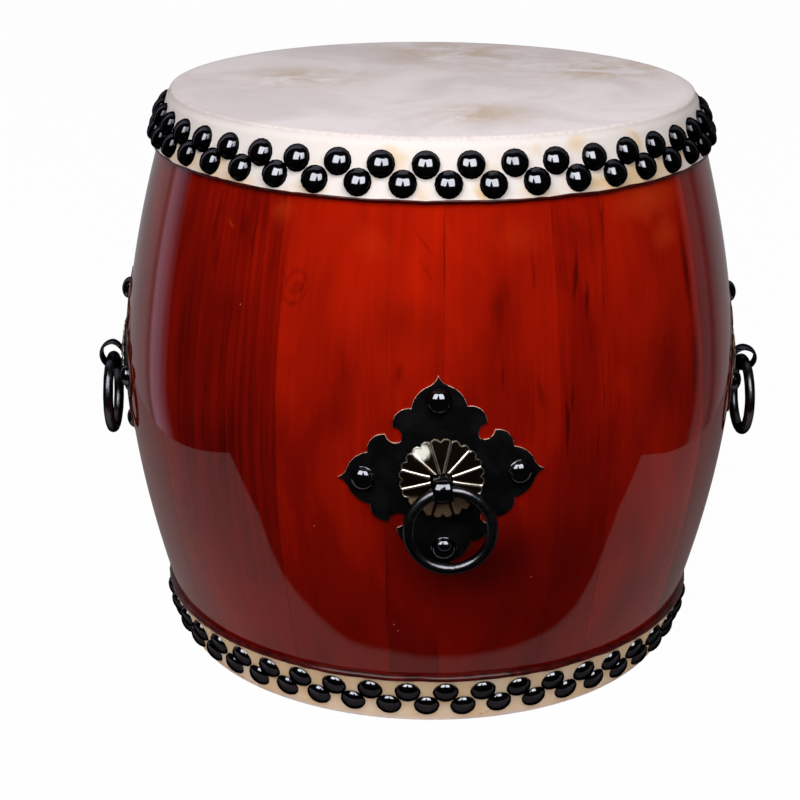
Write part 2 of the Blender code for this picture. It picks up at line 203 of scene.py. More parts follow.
def clean_up(piece, distance=0.00001):
    """Merges doubled vertices and turns all faces outwards."""
    edit_all(piece)
    bpy.ops.mesh.remove_doubles(threshold=distance)
    bpy.ops.mesh.normals_make_consistent(inside=False)
    leave_edit()
    return piece


def turn_over(piece):
    """Makes all faces of an open sheet look the other way."""
    edit_all(piece)
    bpy.ops.mesh.flip_normals()
    leave_edit()


def smooth(piece, sharp_degrees=35):
    only(piece)
    bpy.ops.object.shade_smooth_by_angle(angle=math.radians(sharp_degrees))
    return piece


def copy_of(piece, name, matrix):
    """A copy with its own mesh, moved by a matrix."""
    only(piece)
    bpy.ops.object.duplicate(linked=False)
    copied = bpy.context.object
    copied.name = name
    return settle(copied, matrix)


def join_all(name, pieces):
    bpy.ops.object.select_all(action="DESELECT")
    for piece in pieces:
        piece.select_set(True)
    bpy.context.view_layer.objects.active = pieces[0]
    bpy.ops.object.join()
    joined = bpy.context.object
    joined.name = name
    return joined


def rotation(degrees, axis):
    return Matrix.Rotation(math.radians(degrees), 4, axis)


def report(piece):
    size = [round(1000 * side, 1) for side in piece.dimensions]
    print(f"{piece.name}: {len(piece.data.polygons)} faces, {size} mm")


# %% [markdown]
# A turned piece starts as a chain of points, its profile. Here a circle primitive is opened into
# such a chain, its points are put on the profile, and Spin turns it about the Z axis. A Screw
# modifier would give the same mesh; Spin is what a person would press in edit mode.
# %% Turning a profile
def chain(name, places):
    """An open chain of edges through the places."""
    piece = start_from(
        name, bpy.ops.mesh.primitive_circle_add, vertices=len(places), radius=1, fill_type="NOTHING"
    )
    mesh = edit(piece)
    mesh.verts.ensure_lookup_table()
    closing = mesh.edges.get((mesh.verts[0], mesh.verts[-1]))
    bpy.ops.mesh.select_all(action="DESELECT")
    closing.select_set(True)
    bpy.ops.mesh.delete(type="EDGE_FACE")
    leave_edit()
    for corner, place in zip(piece.data.vertices, places):
        corner.co = place
    return piece


def turned(name, profile, steps):
    """Turns a profile of (radius, height) points about the Z axis."""
    piece = chain(name, [(radius, 0, z) for radius, z in profile])
    edit_all(piece)
    bpy.ops.mesh.spin(steps=steps, angle=math.tau, center=(0, 0, 0), axis=(0, 0, 1))
    leave_edit()
    return clean_up(piece)


# %% [markdown]
# ## Helpers for materials
# A finish is a Principled shader with its plain values set on its own sockets, and a short chain
# of nodes for what varies: colour, and a little bump or roughness. These helpers keep each chain
# readable as one line a node.
# %% Material helpers
SOCKETS = {
    "metallic": "Metallic",
    "specular": "Specular IOR Level",
    "edge_tint": "Specular Tint",
    "coat": "Coat Weight",
    "coat_roughness": "Coat Roughness",
}


def new_finish(name, roughness, **values):
    """A Principled finish. Other plain values go by the short names above."""
    finish = bpy.data.materials.new(name)
    finish.use_nodes = True
    shader = finish.node_tree.nodes["Principled BSDF"]
    shader.inputs["Roughness"].default_value = roughness
    for value_name, value in values.items():
        shader.inputs[SOCKETS[value_name]].default_value = value
    return finish


def add_node(finish, kind, **values):
    """A node with its sockets and settings named in lower case with underscores."""
    node = finish.node_tree.nodes.new("ShaderNode" + kind)
    for name, value in values.items():
        socket = name.replace("_", " ").title()
        if socket in node.inputs:
            node.inputs[socket].default_value = value
        else:
            setattr(node, name, value)
    return node


def wire(finish, source, target):
    finish.node_tree.links.new(source, target)


def to_shader(finish, source, socket):
    wire(finish, source, finish.node_tree.nodes["Principled BSDF"].inputs[socket])


def object_place(finish):
    return add_node(finish, "TexCoord").outputs["Object"]


def read_attribute(finish, name):
    return add_node(finish, "Attribute", attribute_name=name).outputs["Fac"]


def scaled(finish, place, scale):
    mapping = add_node(finish, "Mapping", scale=scale)
    wire(finish, place, mapping.inputs["Vector"])
    return mapping.outputs["Vector"]


def cloud(finish, place, scale, detail=3.0, roughness=0.5, distortion=0.0):
    """Soft noise. Its scale is a number, or a triple that also stretches it."""
    if isinstance(scale, tuple):
        place, scale = scaled(finish, place, scale), 1.0
    texture = add_node(
        finish, "TexNoise", scale=scale, detail=detail, roughness=roughness, distortion=distortion
    )
    wire(finish, place, texture.inputs["Vector"])
    return texture.outputs["Fac"]


def spread(finish, value, low, high, to_low=0.0, to_high=1.0):
    """Stretches the part of a value between low and high to a new range, with soft ends."""
    limits = {"from_min": low, "from_max": high, "to_min": to_low, "to_max": to_high}
    node = add_node(finish, "MapRange", interpolation_type="SMOOTHSTEP", **limits)
    wire(finish, value, node.inputs["Value"])
    return node.outputs["Result"]


def calculate(finish, operation, first, second=0.0):
    """A Math node on one or two values, each a socket or a number."""
    node = add_node(finish, "Math", operation=operation)
    for socket, value in zip(node.inputs, (first, second)):
        if isinstance(value, (int, float)):
            socket.default_value = value
        else:
            wire(finish, value, socket)
    return node.outputs["Value"]


def ramp(finish, value, stops):
    """Colours along a value: stops are (position, (red, green, blue))."""
    node = add_node(finish, "ValToRGB")
    elements = node.color_ramp.elements
    while len(elements) < len(stops):
        elements.new(0.5)
    for element, (position, colour) in zip(elements, stops):
        element.position = position
        element.color = (*colour, 1)
    wire(finish, value, node.inputs["Fac"])
    return node.outputs["Color"]


def blended(finish, amount, first, second):
    """Mixes two colours, each a socket or a triple, by the amount in a socket."""
    node = add_node(finish, "Mix", data_type="RGBA")
    wire(finish, amount, node.inputs[0])
    for socket, value in zip(node.inputs[6:8], (first, second)):
        if isinstance(value, tuple):
            socket.default_value = (*value, 1)
        else:
            wire(finish, value, socket)
    return node.outputs[2]


def add_bump(finish, height, distance, strength=1.0):
    node = add_node(finish, "Bump", strength=strength, distance=distance)
    wire(finish, height, node.inputs["Height"])
    to_shader(finish, node.outputs["Normal"], "Normal")


# %% [markdown]
# ## Red lacquer on wood
# The staves are stained deep red and coated with clear gloss lacquer. The stain takes the grain
# unevenly, so it shows soft clouds, fine fibres and, on some boards, dark bands. That pattern
# follows each board, so it reads the board's own UV map, laid out in metres: U runs across the
# board and V up it. Tone and banding are attributes of each board; the tone is lighter at the top
# and darker towards the bottom, partly the board's own colour and partly painted light and shade.
# What a stained board has only once, a knot or a dark streak, is placed by azimuth and height. The
# gloss is a coat over the stain, so its value is set straight on the shader.
# %% Marks in the wood
# Dark streaks: azimuth, height, half width and half height in mm, lean in degrees, depth
DARK_MARKS = (
    (-45.6, 0.372, 5, 26, 4, 0.45), (-44.6, 0.346, 5, 12, 0, 0.30), (-38.6, 0.372, 6, 15, -6, 0.50),
    (-36.0, 0.365, 2.4, 42, 1, 0.50), (-33.4, 0.352, 1.8, 50, -1, 0.35),
    (-31.2, 0.360, 2.4, 34, 2, 0.35), (-43.7, 0.253, 1.6, 5, 0, 0.80),
    (-44.4, 0.226, 2.2, 30, 2, 0.45), (-40.6, 0.270, 1.6, 60, 2, 0.35),
    (-39.2, 0.300, 1.4, 50, 3, 0.30), (-37.6, 0.240, 1.6, 50, 0, 0.35),
    (-35.2, 0.280, 1.8, 60, -2, 0.30), (-32.2, 0.260, 2.0, 50, 1, 0.30),
    (-50.5, 0.290, 16, 60, 0, 0.35), (-7.2, 0.285, 5, 14, 6, 0.45),
    (-3.4, 0.372, 1.5, 16, -38, 0.30), (-2.6, 0.352, 1.5, 16, -34, 0.30),
    (9.6, 0.330, 8, 26, 8, 0.35), (16.0, 0.352, 1.5, 22, 0, 0.40), (10.1, 0.284, 1.5, 14, 0, 0.50),
    (16.6, 0.268, 3, 20, -10, 0.35), (24.0, 0.345, 3.0, 26, 7, 0.80),
    (25.9, 0.328, 2.4, 20, 5, 0.70), (26.3, 0.300, 2.0, 12, 0, 0.45),
    (21.3, 0.244, 2.4, 38, -1, 0.85), (22.3, 0.262, 2.0, 14, 6, 0.60),
    (27.4, 0.226, 1.6, 18, 0, 0.60), (28.4, 0.255, 1.2, 50, 0, 0.45),
    (30.9, 0.380, 1.6, 24, 8, 0.60), (29.5, 0.335, 1.6, 28, 3, 0.55),
    (20.2, 0.378, 1.4, 24, 4, 0.40), (0.2, 0.365, 1.0, 40, 0, 0.70), (43.0, 0.275, 46, 70, 0, 0.30),
    (51.8, 0.330, 7, 46, 0, 0.70), (52.4, 0.262, 8, 42, 3, 0.60), (8.0, 0.150, 70, 46, 0, 0.60),
    (-28.7, 0.220, 2.0, 80, 0, 0.40), (-9.3, 0.120, 1.4, 70, 0, 0.55),
    (-38.5, 0.318, 34, 24, 0, 0.24), (-7.0, 0.318, 34, 30, 0, 0.26), (6.0, 0.125, 64, 62, 0, 0.40),
    (26.0, 0.372, 26, 20, 20, 0.22),
)
# Where the stain is thin and the wood shows tan, in the same terms
TAN_MARKS = (
    (-30.2, 0.386, 14, 12, -20, 0.35), (-42.0, 0.371, 8, 3, 20, 0.35),
    (46.5, 0.361, 22, 16, -12, 0.50), (43.0, 0.388, 52, 20, 0, 0.62),
    (-12.5, 0.370, 20, 16, 30, 0.20), (13.5, 0.374, 22, 18, 0, 0.20),
)
# The knot, in the same terms but for the depth, and the dark crescents round it
KNOT = (-26.4, 0.337, 10, 14, 24)
KNOT_MARKS = (
    (-24.9, 0.337, 1.5, 9, 14, 0.45), (-26.6, 0.3262, 6, 1.5, -22, 0.35),
    (-28.3, 0.342, 1.3, 9, -24, 0.30),
)
# Specks of dust under the lacquer: azimuth and height, and then what they have in common
SPECKS = ((-21.9, 0.1675), (16.6, 0.1280), (-8.2, 0.0905), (-37.2, 0.3190), (-7.5, 0.0850))
SPECK_SHAPE = (0.7, 0.9, 0, 0.8)


def at_place(finish, place, azimuth, height, half_width, half_height, lean):
    """Distance from a place on the barrel, 1 at the edge of an oval round it."""
    mapping = add_node(
        finish,
        "Mapping",
        vector_type="TEXTURE",
        location=on_barrel(barrel_radius(height), azimuth, height),
        rotation=(0, math.radians(lean), math.radians(azimuth)),
        scale=(half_width / 1000, 1, half_height / 1000),
    )
    wire(finish, place, mapping.inputs["Vector"])
    length = add_node(finish, "VectorMath", operation="LENGTH")
    wire(finish, mapping.outputs["Vector"], length.inputs[0])
    return length.outputs["Value"]


def marks(finish, place, rows):
    """Soft ovals added up, each 0 outside and its own depth in the middle."""
    total = 0.0
    for *oval, depth in rows:
        away = at_place(finish, place, *oval)
        total = calculate(finish, "ADD", spread(finish, away, 0.0, 1.0, depth, 0.0), total)
    return calculate(finish, "MINIMUM", total, 1.0)


def wobbled(finish, place, scale, reach):
    """Shifts places by a slow noise, so that what is drawn on them gets uneven outlines."""
    texture = add_node(finish, "TexNoise", scale=1.0, detail=3.0)
    wire(finish, scaled(finish, place, scale), texture.inputs["Vector"])
    shift = add_node(finish, "VectorMath", operation="MULTIPLY_ADD")
    wire(finish, texture.outputs["Color"], shift.inputs[0])
    shift.inputs[1].default_value = (2 * reach, 2 * reach, 2 * reach)
    shift.inputs[2].default_value = (-reach, -reach, -reach)
    moved = add_node(finish, "VectorMath", operation="ADD")
    wire(finish, place, moved.inputs[0])
    wire(finish, shift.outputs["Vector"], moved.inputs[1])
    return moved.outputs["Vector"]


print(len(DARK_MARKS), "dark marks,", len(TAN_MARKS), "tan ones and a knot")

# %% Lacquer material
STAIN_DARK = (0.055, 0.0010, 0.0002)
STAIN_MIDDLE = (0.230, 0.0040, 0.0005)
STAIN_BRIGHT = (0.640, 0.0150, 0.0010)
STAIN_TAN = (0.560, 0.0380, 0.0060)
STREAK = (0.040, 0.0008, 0.0002)
SPECK = (0.60, 0.30, 0.26)
# Scales of the noises, across and along the board, and their shares in the stain's value
DRIFT_SCALE, DRIFT_SHARE = (16, 7, 1), 0.6
CONTOUR_SCALE, CONTOUR_LINES, LINE_SHARE = (22, 3.0, 1), 90.0, 0.012
FIBRE_SCALE, FIBRE_SHARE = (900, 12, 1), 0.05
BAND_SCALE = (210, 3.0, 1)
KNOT_RINGS = 9.0


def make_lacquer():
    finish = new_finish("red_lacquer", 0.5, coat=1.0, coat_roughness=0.02, specular=0.0)
    board = add_node(finish, "UVMap", uv_map="board").outputs["UV"]
    place = object_place(finish)

    drift = cloud(finish, board, DRIFT_SCALE, distortion=0.5)
    contours = cloud(finish, board, CONTOUR_SCALE, detail=1.5, distortion=0.6)
    lines = calculate(finish, "SINE", calculate(finish, "MULTIPLY", contours, CONTOUR_LINES))
    fibres = cloud(finish, board, FIBRE_SCALE, roughness=0.6)
    bands = spread(finish, cloud(finish, board, BAND_SCALE, detail=4.0, roughness=0.6), 0.40, 0.64)
    bands = calculate(finish, "MULTIPLY", bands, read_attribute(finish, "banding"))

    value = calculate(finish, "MULTIPLY", drift, DRIFT_SHARE)
    for part, share in ((lines, LINE_SHARE), (fibres, FIBRE_SHARE)):
        value = calculate(finish, "ADD", value, calculate(finish, "MULTIPLY", part, share))
    value = calculate(finish, "SUBTRACT", value, bands)
    # The tone holds painted light and shade: lighter towards the top, darker towards the bottom
    value = calculate(finish, "ADD", value, read_attribute(finish, "tone_and_shade"))
    stain = ramp(finish, value, [(0.10, STAIN_DARK), (0.45, STAIN_MIDDLE), (0.85, STAIN_BRIGHT)])

    streaky = wobbled(finish, place, (220, 220, 40), 0.0022)
    cloudy = wobbled(finish, place, (90, 90, 90), 0.0060)
    stain = blended(finish, marks(finish, cloudy, TAN_MARKS), stain, STAIN_TAN)
    stain = blended(finish, marks(finish, streaky, DARK_MARKS), stain, STREAK)

    from_knot = at_place(finish, wobbled(finish, place, (60, 60, 60), 0.0060), *KNOT)
    rings = calculate(finish, "SINE", calculate(finish, "MULTIPLY", from_knot, KNOT_RINGS))
    fading = spread(finish, from_knot, 0.6, 1.4, 0.26, 0.0)
    rings = calculate(finish, "MULTIPLY", spread(finish, rings, -0.4, 1.0), fading)
    stain = blended(finish, rings, stain, STREAK)
    stain = blended(finish, marks(finish, streaky, KNOT_MARKS), stain, STREAK)

    dust = marks(finish, place, [(*speck, *SPECK_SHAPE) for speck in SPECKS])
    stain = blended(finish, dust, stain, SPECK)
    to_shader(finish, stain, "Base Color")
    return finish


red_lacquer = make_lacquer()
print(red_lacquer.name, len(red_lacquer.node_tree.nodes), "nodes")

# %% [markdown]
# ## The staves
# A drum of this size is glued up from sixteen boards of uneven width, each bent to the bulge. One
# could turn the whole barrel in one go, but then it would have no glue lines. Here each board
# starts as a grid, which is its section from wall to wall; its points are moved onto the bulge,
# and Spin sweeps it through the board's share of the circle. A bevel eases the long edges, which
# leaves the fine groove of a glue line between neighbours. Hand-planed boards are never quite
# true, so a slow noise moves the outside by a fraction of a millimetre, which makes the
# reflections in the lacquer waver. Weighted normals leave the board's face flat right up to the
# eased edge, or the mirrored table would bend there.
# %% Stave values
FIRST_JOINT = 0.2
STAVE_WIDTHS = (20, 10.5, 24.5, 25, 26.5, 24, 27.5, 26, 24.5, 23, 21.5, 23, 27, 28, 19.5)
STAVE_LEVELS = 60
GLUE_LINE = 0.00006
EASED_EDGE = 0.00015
PLANING = 0.00030
PLANING_SCALE = 9.0
# Tone at each board's top, middle and bottom, painted light and shade included, then how dark its
# bands are
STAVE_TONES_AND_SHADE = (
    (0.30, 0.15, -0.06, 0.02), (0.28, 0.15, -0.04, 0.05), (0.27, 0.20, 0.06, 0.02),
    (0.16, 0.06, -0.06, 0.05), (0.22, 0.12, -0.06, 0.04), (0.10, 0.04, -0.08, 0.12),
    (0.20, 0.10, -0.04, 0.06), (0.12, 0.06, -0.08, 0.10), (0.24, 0.14, -0.02, 0.05),
    (0.10, 0.04, -0.08, 0.10), (0.20, 0.10, -0.04, 0.04), (0.15, 0.06, -0.06, 0.12),
    (0.10, 0.02, -0.02, 0.08), (0.19, 0.05, 0.02, 0.13), (0.30, 0.18, 0.04, 0.02),
    (0.31, 0.17, -0.12, 0.03),
)
# The last two boards were sawn from one plank, so their clouds run on from one to the other
SAME_PLANK = 15
# Bands fade towards the foot of a board: levels of none and of all, and the least that stays
BAND_FADE = (0.06, 0.21, 0.3)
# Nearer than this is as good as touching, in metres and in degrees
TOUCHING = 0.0001
IN_LINE = 0.01


def store(piece, name, values):
    """Stores a number on each vertex, as an attribute that a material can read."""
    piece.data.attributes.new(name, "FLOAT", "POINT").data.foreach_set("value", values)


def paint(piece, name, value_at):
    """Stores a number that depends on the vertex's place."""
    store(piece, name, [value_at(corner.co) for corner in piece.data.vertices])


def turn_between(first, azimuth):
    """Degrees from one azimuth to another, between -180 and 180."""
    return (azimuth - first + 180) % 360 - 180


def lay_out_board(piece, start, number):
    """The board's UV map in metres: U round the barrel, and V up it from the board's own level."""
    layer = piece.data.uv_layers.new(name="board")
    for loop in piece.data.loops:
        place = piece.data.vertices[loop.vertex_index].co
        azimuth = start + turn_between(start, azimuth_of(place))
        u = math.radians(azimuth) * BELLY_RADIUS
        layer.data[loop.index].uv = (u, place.z + min(number, SAME_PLANK))


def tone_and_shade_at(tones, z):
    """Between a board's tones at its top, middle and bottom, which hold painted light and shade."""
    top, middle, bottom = tones
    share = 2 * z / DRUM_HEIGHT - 1
    return middle + share * (top - middle) if share > 0 else middle - share * (bottom - middle)


def banding_at(banding, z):
    none_at, full_at, least = BAND_FADE
    return banding * clamp((z - none_at) / (full_at - none_at), least)


def planed(place):
    """Shifts a point in or out by the board's slow unevenness."""
    wander = noise.noise(place * PLANING_SCALE)
    return place + outward_at(place) * wander * PLANING


def is_outside(place):
    """Whether a place on a board is on its outer half."""
    return place.xy.length > barrel_radius(place.z) - WALL / 2


def at_wood_end(z):
    return z > WOOD_TOP - TOUCHING or z < WOOD_BOTTOM + TOUCHING


def ease_edges(stave, first, last):
    """Bevels the outer edges that meet the neighbours, and those at both ends."""
    mesh = edit(stave, "EDGE")

    def on_rim(edge):
        for place in (corner.co for corner in edge.verts):
            to_side = min(abs(turn_between(side, azimuth_of(place))) for side in (first, last))
            if not is_outside(place) or (to_side > IN_LINE and not at_wood_end(place.z)):
                return False
        one, other = (corner.co.z for corner in edge.verts)
        return at_wood_end((one + other) / 2) or abs(one - other) >= TOUCHING

    choose(mesh, mesh.edges, on_rim)
    bpy.ops.mesh.bevel(offset=EASED_EDGE, segments=2, affect="EDGES")
    leave_edit()


def make_stave(number, start, width, tones):
    name = f"lacquered_stave_{number:02d}"
    stave = start_from(
        name, bpy.ops.mesh.primitive_grid_add, x_subdivisions=1, y_subdivisions=STAVE_LEVELS, size=1
    )
    gap = math.degrees(GLUE_LINE / END_RADIUS)
    first, last = start + gap / 2, start + width - gap / 2
    for corner in stave.data.vertices:
        z = WOOD_BOTTOM + (corner.co.y + 0.5) * (WOOD_TOP - WOOD_BOTTOM)
        radius = barrel_radius(z) - (0 if corner.co.x > 0 else WALL)
        corner.co = on_barrel(radius, first, z)
    edit_all(stave)
    sweep = math.radians(width - gap)
    bpy.ops.mesh.spin(steps=round(width), angle=sweep, center=(0, 0, 0), axis=(0, 0, -1))
    leave_edit()
    clean_up(stave)
    ease_edges(stave, first, last)
    for corner in stave.data.vertices:
        if is_outside(corner.co):
            corner.co = planed(corner.co)
    paint(stave, "tone_and_shade", lambda place: tone_and_shade_at(tones[:3], place.z))
    paint(stave, "banding", lambda place: banding_at(tones[3], place.z))
    lay_out_board(stave, start, number)
    smooth(stave, 50)
    return apply_modifier(stave, "WEIGHTED_NORMAL", mode="FACE_AREA", weight=100, keep_sharp=True)


# %% Make the staves
start = FIRST_JOINT
widths = [*STAVE_WIDTHS, 360 - sum(STAVE_WIDTHS)]
for number, (width, tones) in enumerate(zip(widths, STAVE_TONES_AND_SHADE), 1):
    stave = make_stave(number, start, width, tones)
    stave.data.materials.append(red_lacquer)
    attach(stave, "root")
    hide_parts(f"stave_{number:02d}")
    report(stave)
    start += width

# %% [markdown]
# ## The hides
# Each end is covered by one cowhide, soaked, pulled over the rim and nailed while wet. It dries
# hard and matt, greyer on the playing face and yellower on the skirt. The face, the rounded rim
# and the skirt are one turned profile. Then the cut edge gets its slight waviness, the skirt is
# drawn in a little at each tack, and Solidify gives the hide its thickness inwards. Attributes
# tell the finish where the skirt is, where the rim is worn and where old stains are.
# %% Tack places
TOP_TACKS_PER_ROW = 43
TOP_TACK_LEVELS = (DRUM_HEIGHT - 0.0170, DRUM_HEIGHT - 0.0295)
TOP_TACK_START = -3.3
BOTTOM_TACKS_PER_ROW = 47
BOTTOM_TACK_LEVELS = (0.0310, 0.0180)
BOTTOM_TACK_START = -5.9
TACK_WANDER = 0.0004
TACK_SEED = 5


def tack_places(per_row, row_levels, start):
    """Places in zigzag order. Hand-set tacks wander a little off their marks."""
    wander = random.Random(TACK_SEED)
    places = []
    for number in range(2 * per_row):
        azimuth = start + number * 180 / per_row
        z = row_levels[number % 2] + wander.uniform(-TACK_WANDER, TACK_WANDER)
        azimuth += math.degrees(wander.uniform(-TACK_WANDER, TACK_WANDER) / END_RADIUS)
        places.append(outward_frame(hide_radius, azimuth, z))
    return places


top_tacks = tack_places(TOP_TACKS_PER_ROW, TOP_TACK_LEVELS, TOP_TACK_START)
bottom_tacks = tack_places(BOTTOM_TACKS_PER_ROW, BOTTOM_TACK_LEVELS, BOTTOM_TACK_START)
print(len(top_tacks), "tacks at the top and", len(bottom_tacks), "at the bottom")

# %% Hide material
FACE_PALE = (0.86, 0.79, 0.81)
FACE_GREY = (0.74, 0.66, 0.68)
STAIN_BEIGE = (0.60, 0.47, 0.36)
SKIRT_PALE = (0.86, 0.79, 0.77)
SKIRT_TAN = (0.80, 0.58, 0.36)
LOWER_PALE = (0.81, 0.66, 0.49)
CREASE_BROWN = (0.44, 0.30, 0.21)
SCRATCH_BROWN = (0.22, 0.12, 0.07)
# Tan patches on the upper skirt and a scratch on the lower, in the terms of the marks in the wood
SKIRT_MARKS = (
    (38.0, 0.404, 80, 13, 0, 0.95), (27.0, 0.431, 13, 10, 0, 0.70), (17.0, 0.407, 13, 13, 0, 0.55),
    (52.0, 0.412, 30, 13, 0, 0.50), (-9.0, 0.427, 13, 12, 0, 0.50), (-25.0, 0.403, 20, 9, 0, 0.75),
    (-4.0, 0.404, 13, 7, 0, 0.55), (-14.0, 0.412, 10, 10, 0, 0.30), (-57.0, 0.410, 15, 13, 0, 0.60),
    (-40.0, 0.402, 22, 7, 0, 0.45), (-68.0, 0.404, 30, 9, 0, 0.50), (7.5, 0.404, 12, 7, 0, 0.30),
    (120.0, 0.406, 60, 13, 0, 0.8), (170.0, 0.424, 20, 16, 0, 0.6), (215.0, 0.405, 50, 12, 0, 0.8),
)
SCRATCH = ((9.6, 0.0053, 2.6, 0.8, -30, 1.0), (10.9, 0.0068, 2.2, 0.6, -8, 0.9))
# How much more of the skirt is tan at its cut edge
TAN_TOWARDS_EDGE = 0.10


def make_cowhide(name, pale, tan_share, tan_marks, scratches):
    """Attributes say where the skirt is and how low, and where the rim is worn or stained."""
    finish = new_finish(name, 0.6, specular=0.35)
    place = object_place(finish)
    skirt = read_attribute(finish, "skirt")
    crease = read_attribute(finish, "crease")
    broad = cloud(finish, place, 9.0, detail=5.0, roughness=0.6, distortion=0.8)
    face = blended(finish, spread(finish, broad, 0.40, 0.66), FACE_PALE, FACE_GREY)
    blotches = cloud(finish, place, 26.0, detail=6.0, roughness=0.7, distortion=0.5)
    blotches = spread(finish, blotches, 0.36, 0.62)
    stain = calculate(finish, "MULTIPLY", read_attribute(finish, "stain"), blotches)
    face = blended(finish, stain, face, STAIN_BEIGE)
    patches = cloud(finish, place, (22, 22, 30), distortion=0.6)
    lower = calculate(finish, "MULTIPLY", read_attribute(finish, "low"), TAN_TOWARDS_EDGE)
    patches = calculate(finish, "ADD", patches, lower)
    patches = spread(finish, patches, 0.60 - tan_share, 0.80 - tan_share)
    side = blended(finish, patches, pale, SKIRT_TAN)
    patchy = wobbled(finish, place, (70, 70, 70), 0.008)
    side = blended(finish, marks(finish, patchy, tan_marks), side, SKIRT_TAN)
    colour = blended(finish, skirt, face, side)
    specks = cloud(finish, place, 300.0, detail=4.0, roughness=0.7)
    specks = calculate(finish, "MULTIPLY", spread(finish, specks, 0.38, 0.74, 0.12, 0.45), crease)
    colour = blended(finish, specks, colour, CREASE_BROWN)
    colour = blended(finish, marks(finish, place, scratches), colour, SCRATCH_BROWN)
    to_shader(finish, colour, "Base Color")
    add_bump(finish, cloud(finish, place, 700.0), 0.0002, 0.5)
    return finish


top_hide_finish = make_cowhide("cowhide", SKIRT_PALE, 0.0, SKIRT_MARKS, ())
bottom_hide_finish = make_cowhide("cowhide_lower", LOWER_PALE, 0.17, (), SCRATCH)

# %% Turn the hides
CREASE = 0.003
CREASE_STEPS = 5
SKIRT_ROWS = 16
HIDE_SEGMENTS = 360
FACE_RINGS = (0.0, 0.02, 0.05, 0.08, 0.11, 0.135, 0.155, 0.172, 0.184, 0.191)
WORN_LINE = 0.0022
EDGE_WAVE = 0.0007
# Old stains on the face: x, y and reach
STAINS = ((0.02, 0.140, 0.060), (0.135, 0.060, 0.055), (-0.10, 0.02, 0.045), (0.03, -0.12, 0.035))
TACK_PULL = 0.0006
TACK_PULL_REACH = 0.009
NEAR_TACK = 0.03


def hide_profile():
    """Face, rounded rim and skirt of the upper hide, from the centre outwards and down."""
    rim = hide_radius(DRUM_HEIGHT)
    points = [(radius, DRUM_HEIGHT) for radius in FACE_RINGS]
    for step in range(CREASE_STEPS + 1):
        turn = math.radians(90 * step / CREASE_STEPS)
        inwards, down = CREASE * (1 - math.sin(turn)), CREASE * (1 - math.cos(turn))
        points.append((rim - inwards, DRUM_HEIGHT - down))
    for step in range(1, SKIRT_ROWS + 1):
        z = DRUM_HEIGHT - CREASE - (SKIRT_DEPTH - CREASE) * step / SKIRT_ROWS
        points.append((hide_radius(z), z))
    return points


def for_end(profile, upper):
    """A profile is drawn for the upper end, and mirrored for the lower one."""
    return profile if upper else [(radius, DRUM_HEIGHT - z) for radius, z in profile]


def depth_at(z, upper):
    """How far a level is from the face of its end."""
    return DRUM_HEIGHT - z if upper else z


def edge_wave(outward, upper):
    """Height by which a cut edge wanders, in a direction outwards."""
    wave = noise.noise(outward * 9) + 0.5 * noise.noise(outward * 31)
    return EDGE_WAVE * wave * (1 if upper else -1)


def shape_skirt(place, tacks, upper):
    """Draws the skirt in at the tacks and makes its cut edge wander up and down."""
    depth = depth_at(place.z, upper)
    if depth < CREASE:
        return place
    outward = outward_at(place)
    distances = [(place - tack).length for tack in tacks]
    pull = sum(bell(away, TACK_PULL_REACH) for away in distances if away < 3 * TACK_PULL_REACH)
    edge = (depth / SKIRT_DEPTH) ** 4
    inwards = outward * TACK_PULL * min(pull, 1) * (1 - edge * 0.5)
    return place - inwards + Vector((0, 0, edge * edge_wave(outward, upper)))


def stain_at(place):
    stains = [bell(math.hypot(place.x - x, place.y - y), reach) for x, y, reach in STAINS]
    return min(1, sum(stains))


def make_hide(name, upper, tack_frames):
    hide = turned(name, for_end(hide_profile(), upper), HIDE_SEGMENTS)
    if hide.data.polygons[0].normal.z * (1 if upper else -1) < 0:
        turn_over(hide)
    tacks = [frame.translation for frame in tack_frames]
    for corner in hide.data.vertices:
        near = [tack for tack in tacks if (tack.xy - corner.co.xy).length < NEAR_TACK]
        corner.co = shape_skirt(corner.co, near, upper)
    rim = hide_radius(DRUM_HEIGHT) - CREASE / 2

    def crease_at(place):
        depth = depth_at(place.z, upper)
        return bell(place.xy.length - rim if depth < CREASE / 2 else depth, WORN_LINE)

    apply_modifier(hide, "SOLIDIFY", thickness=HIDE, offset=-1.0, use_even_offset=True)
    paint(hide, "skirt", lambda place: clamp(depth_at(place.z, upper) / CREASE - 0.3))
    paint(hide, "crease", crease_at)
    paint(hide, "low", lambda place: clamp(depth_at(place.z, upper) / SKIRT_DEPTH))
    paint(hide, "stain", stain_at)
    return smooth(hide, 50)


for name, upper, tack_frames, node_name in (
    ("upper_hide", True, top_tacks, "head_top"),
    ("lower_hide", False, bottom_tacks, "head_bottom"),
):
    hide = make_hide(name, upper, tack_frames)
    hide.data.materials.append(top_hide_finish if upper else bottom_hide_finish)
    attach(hide, "root")
    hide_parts(node_name)
    report(hide)

# %% [markdown]
# ## Lacquer beads
# The lacquer was brushed on last, up to the cut edge of each hide, where it gathered in a wavy
# dark bead that hides the cut. It is a turned fillet, from the skirt's edge down to the wood. The
# CAD model leaves it out, so it stands for no node and just rides with the drum.
# %% Make the lacquer beads
BEAD_STEPS = 6
BEAD_HEIGHTS = {"top": 0.0012, "bottom": 0.0030}
BEAD_OVERLAP = 0.0012
BEAD_LAP = 0.0003
BEAD_START = (0.0008, 0.6)
BEAD_ROUNDNESS = 0.8
BEAD_SWELL = 0.00045
BEAD_SEGMENTS = 240
BEAD_DARK = (0.030, 0.0012, 0.0012)
BEAD_RED = (0.080, 0.0035, 0.0030)


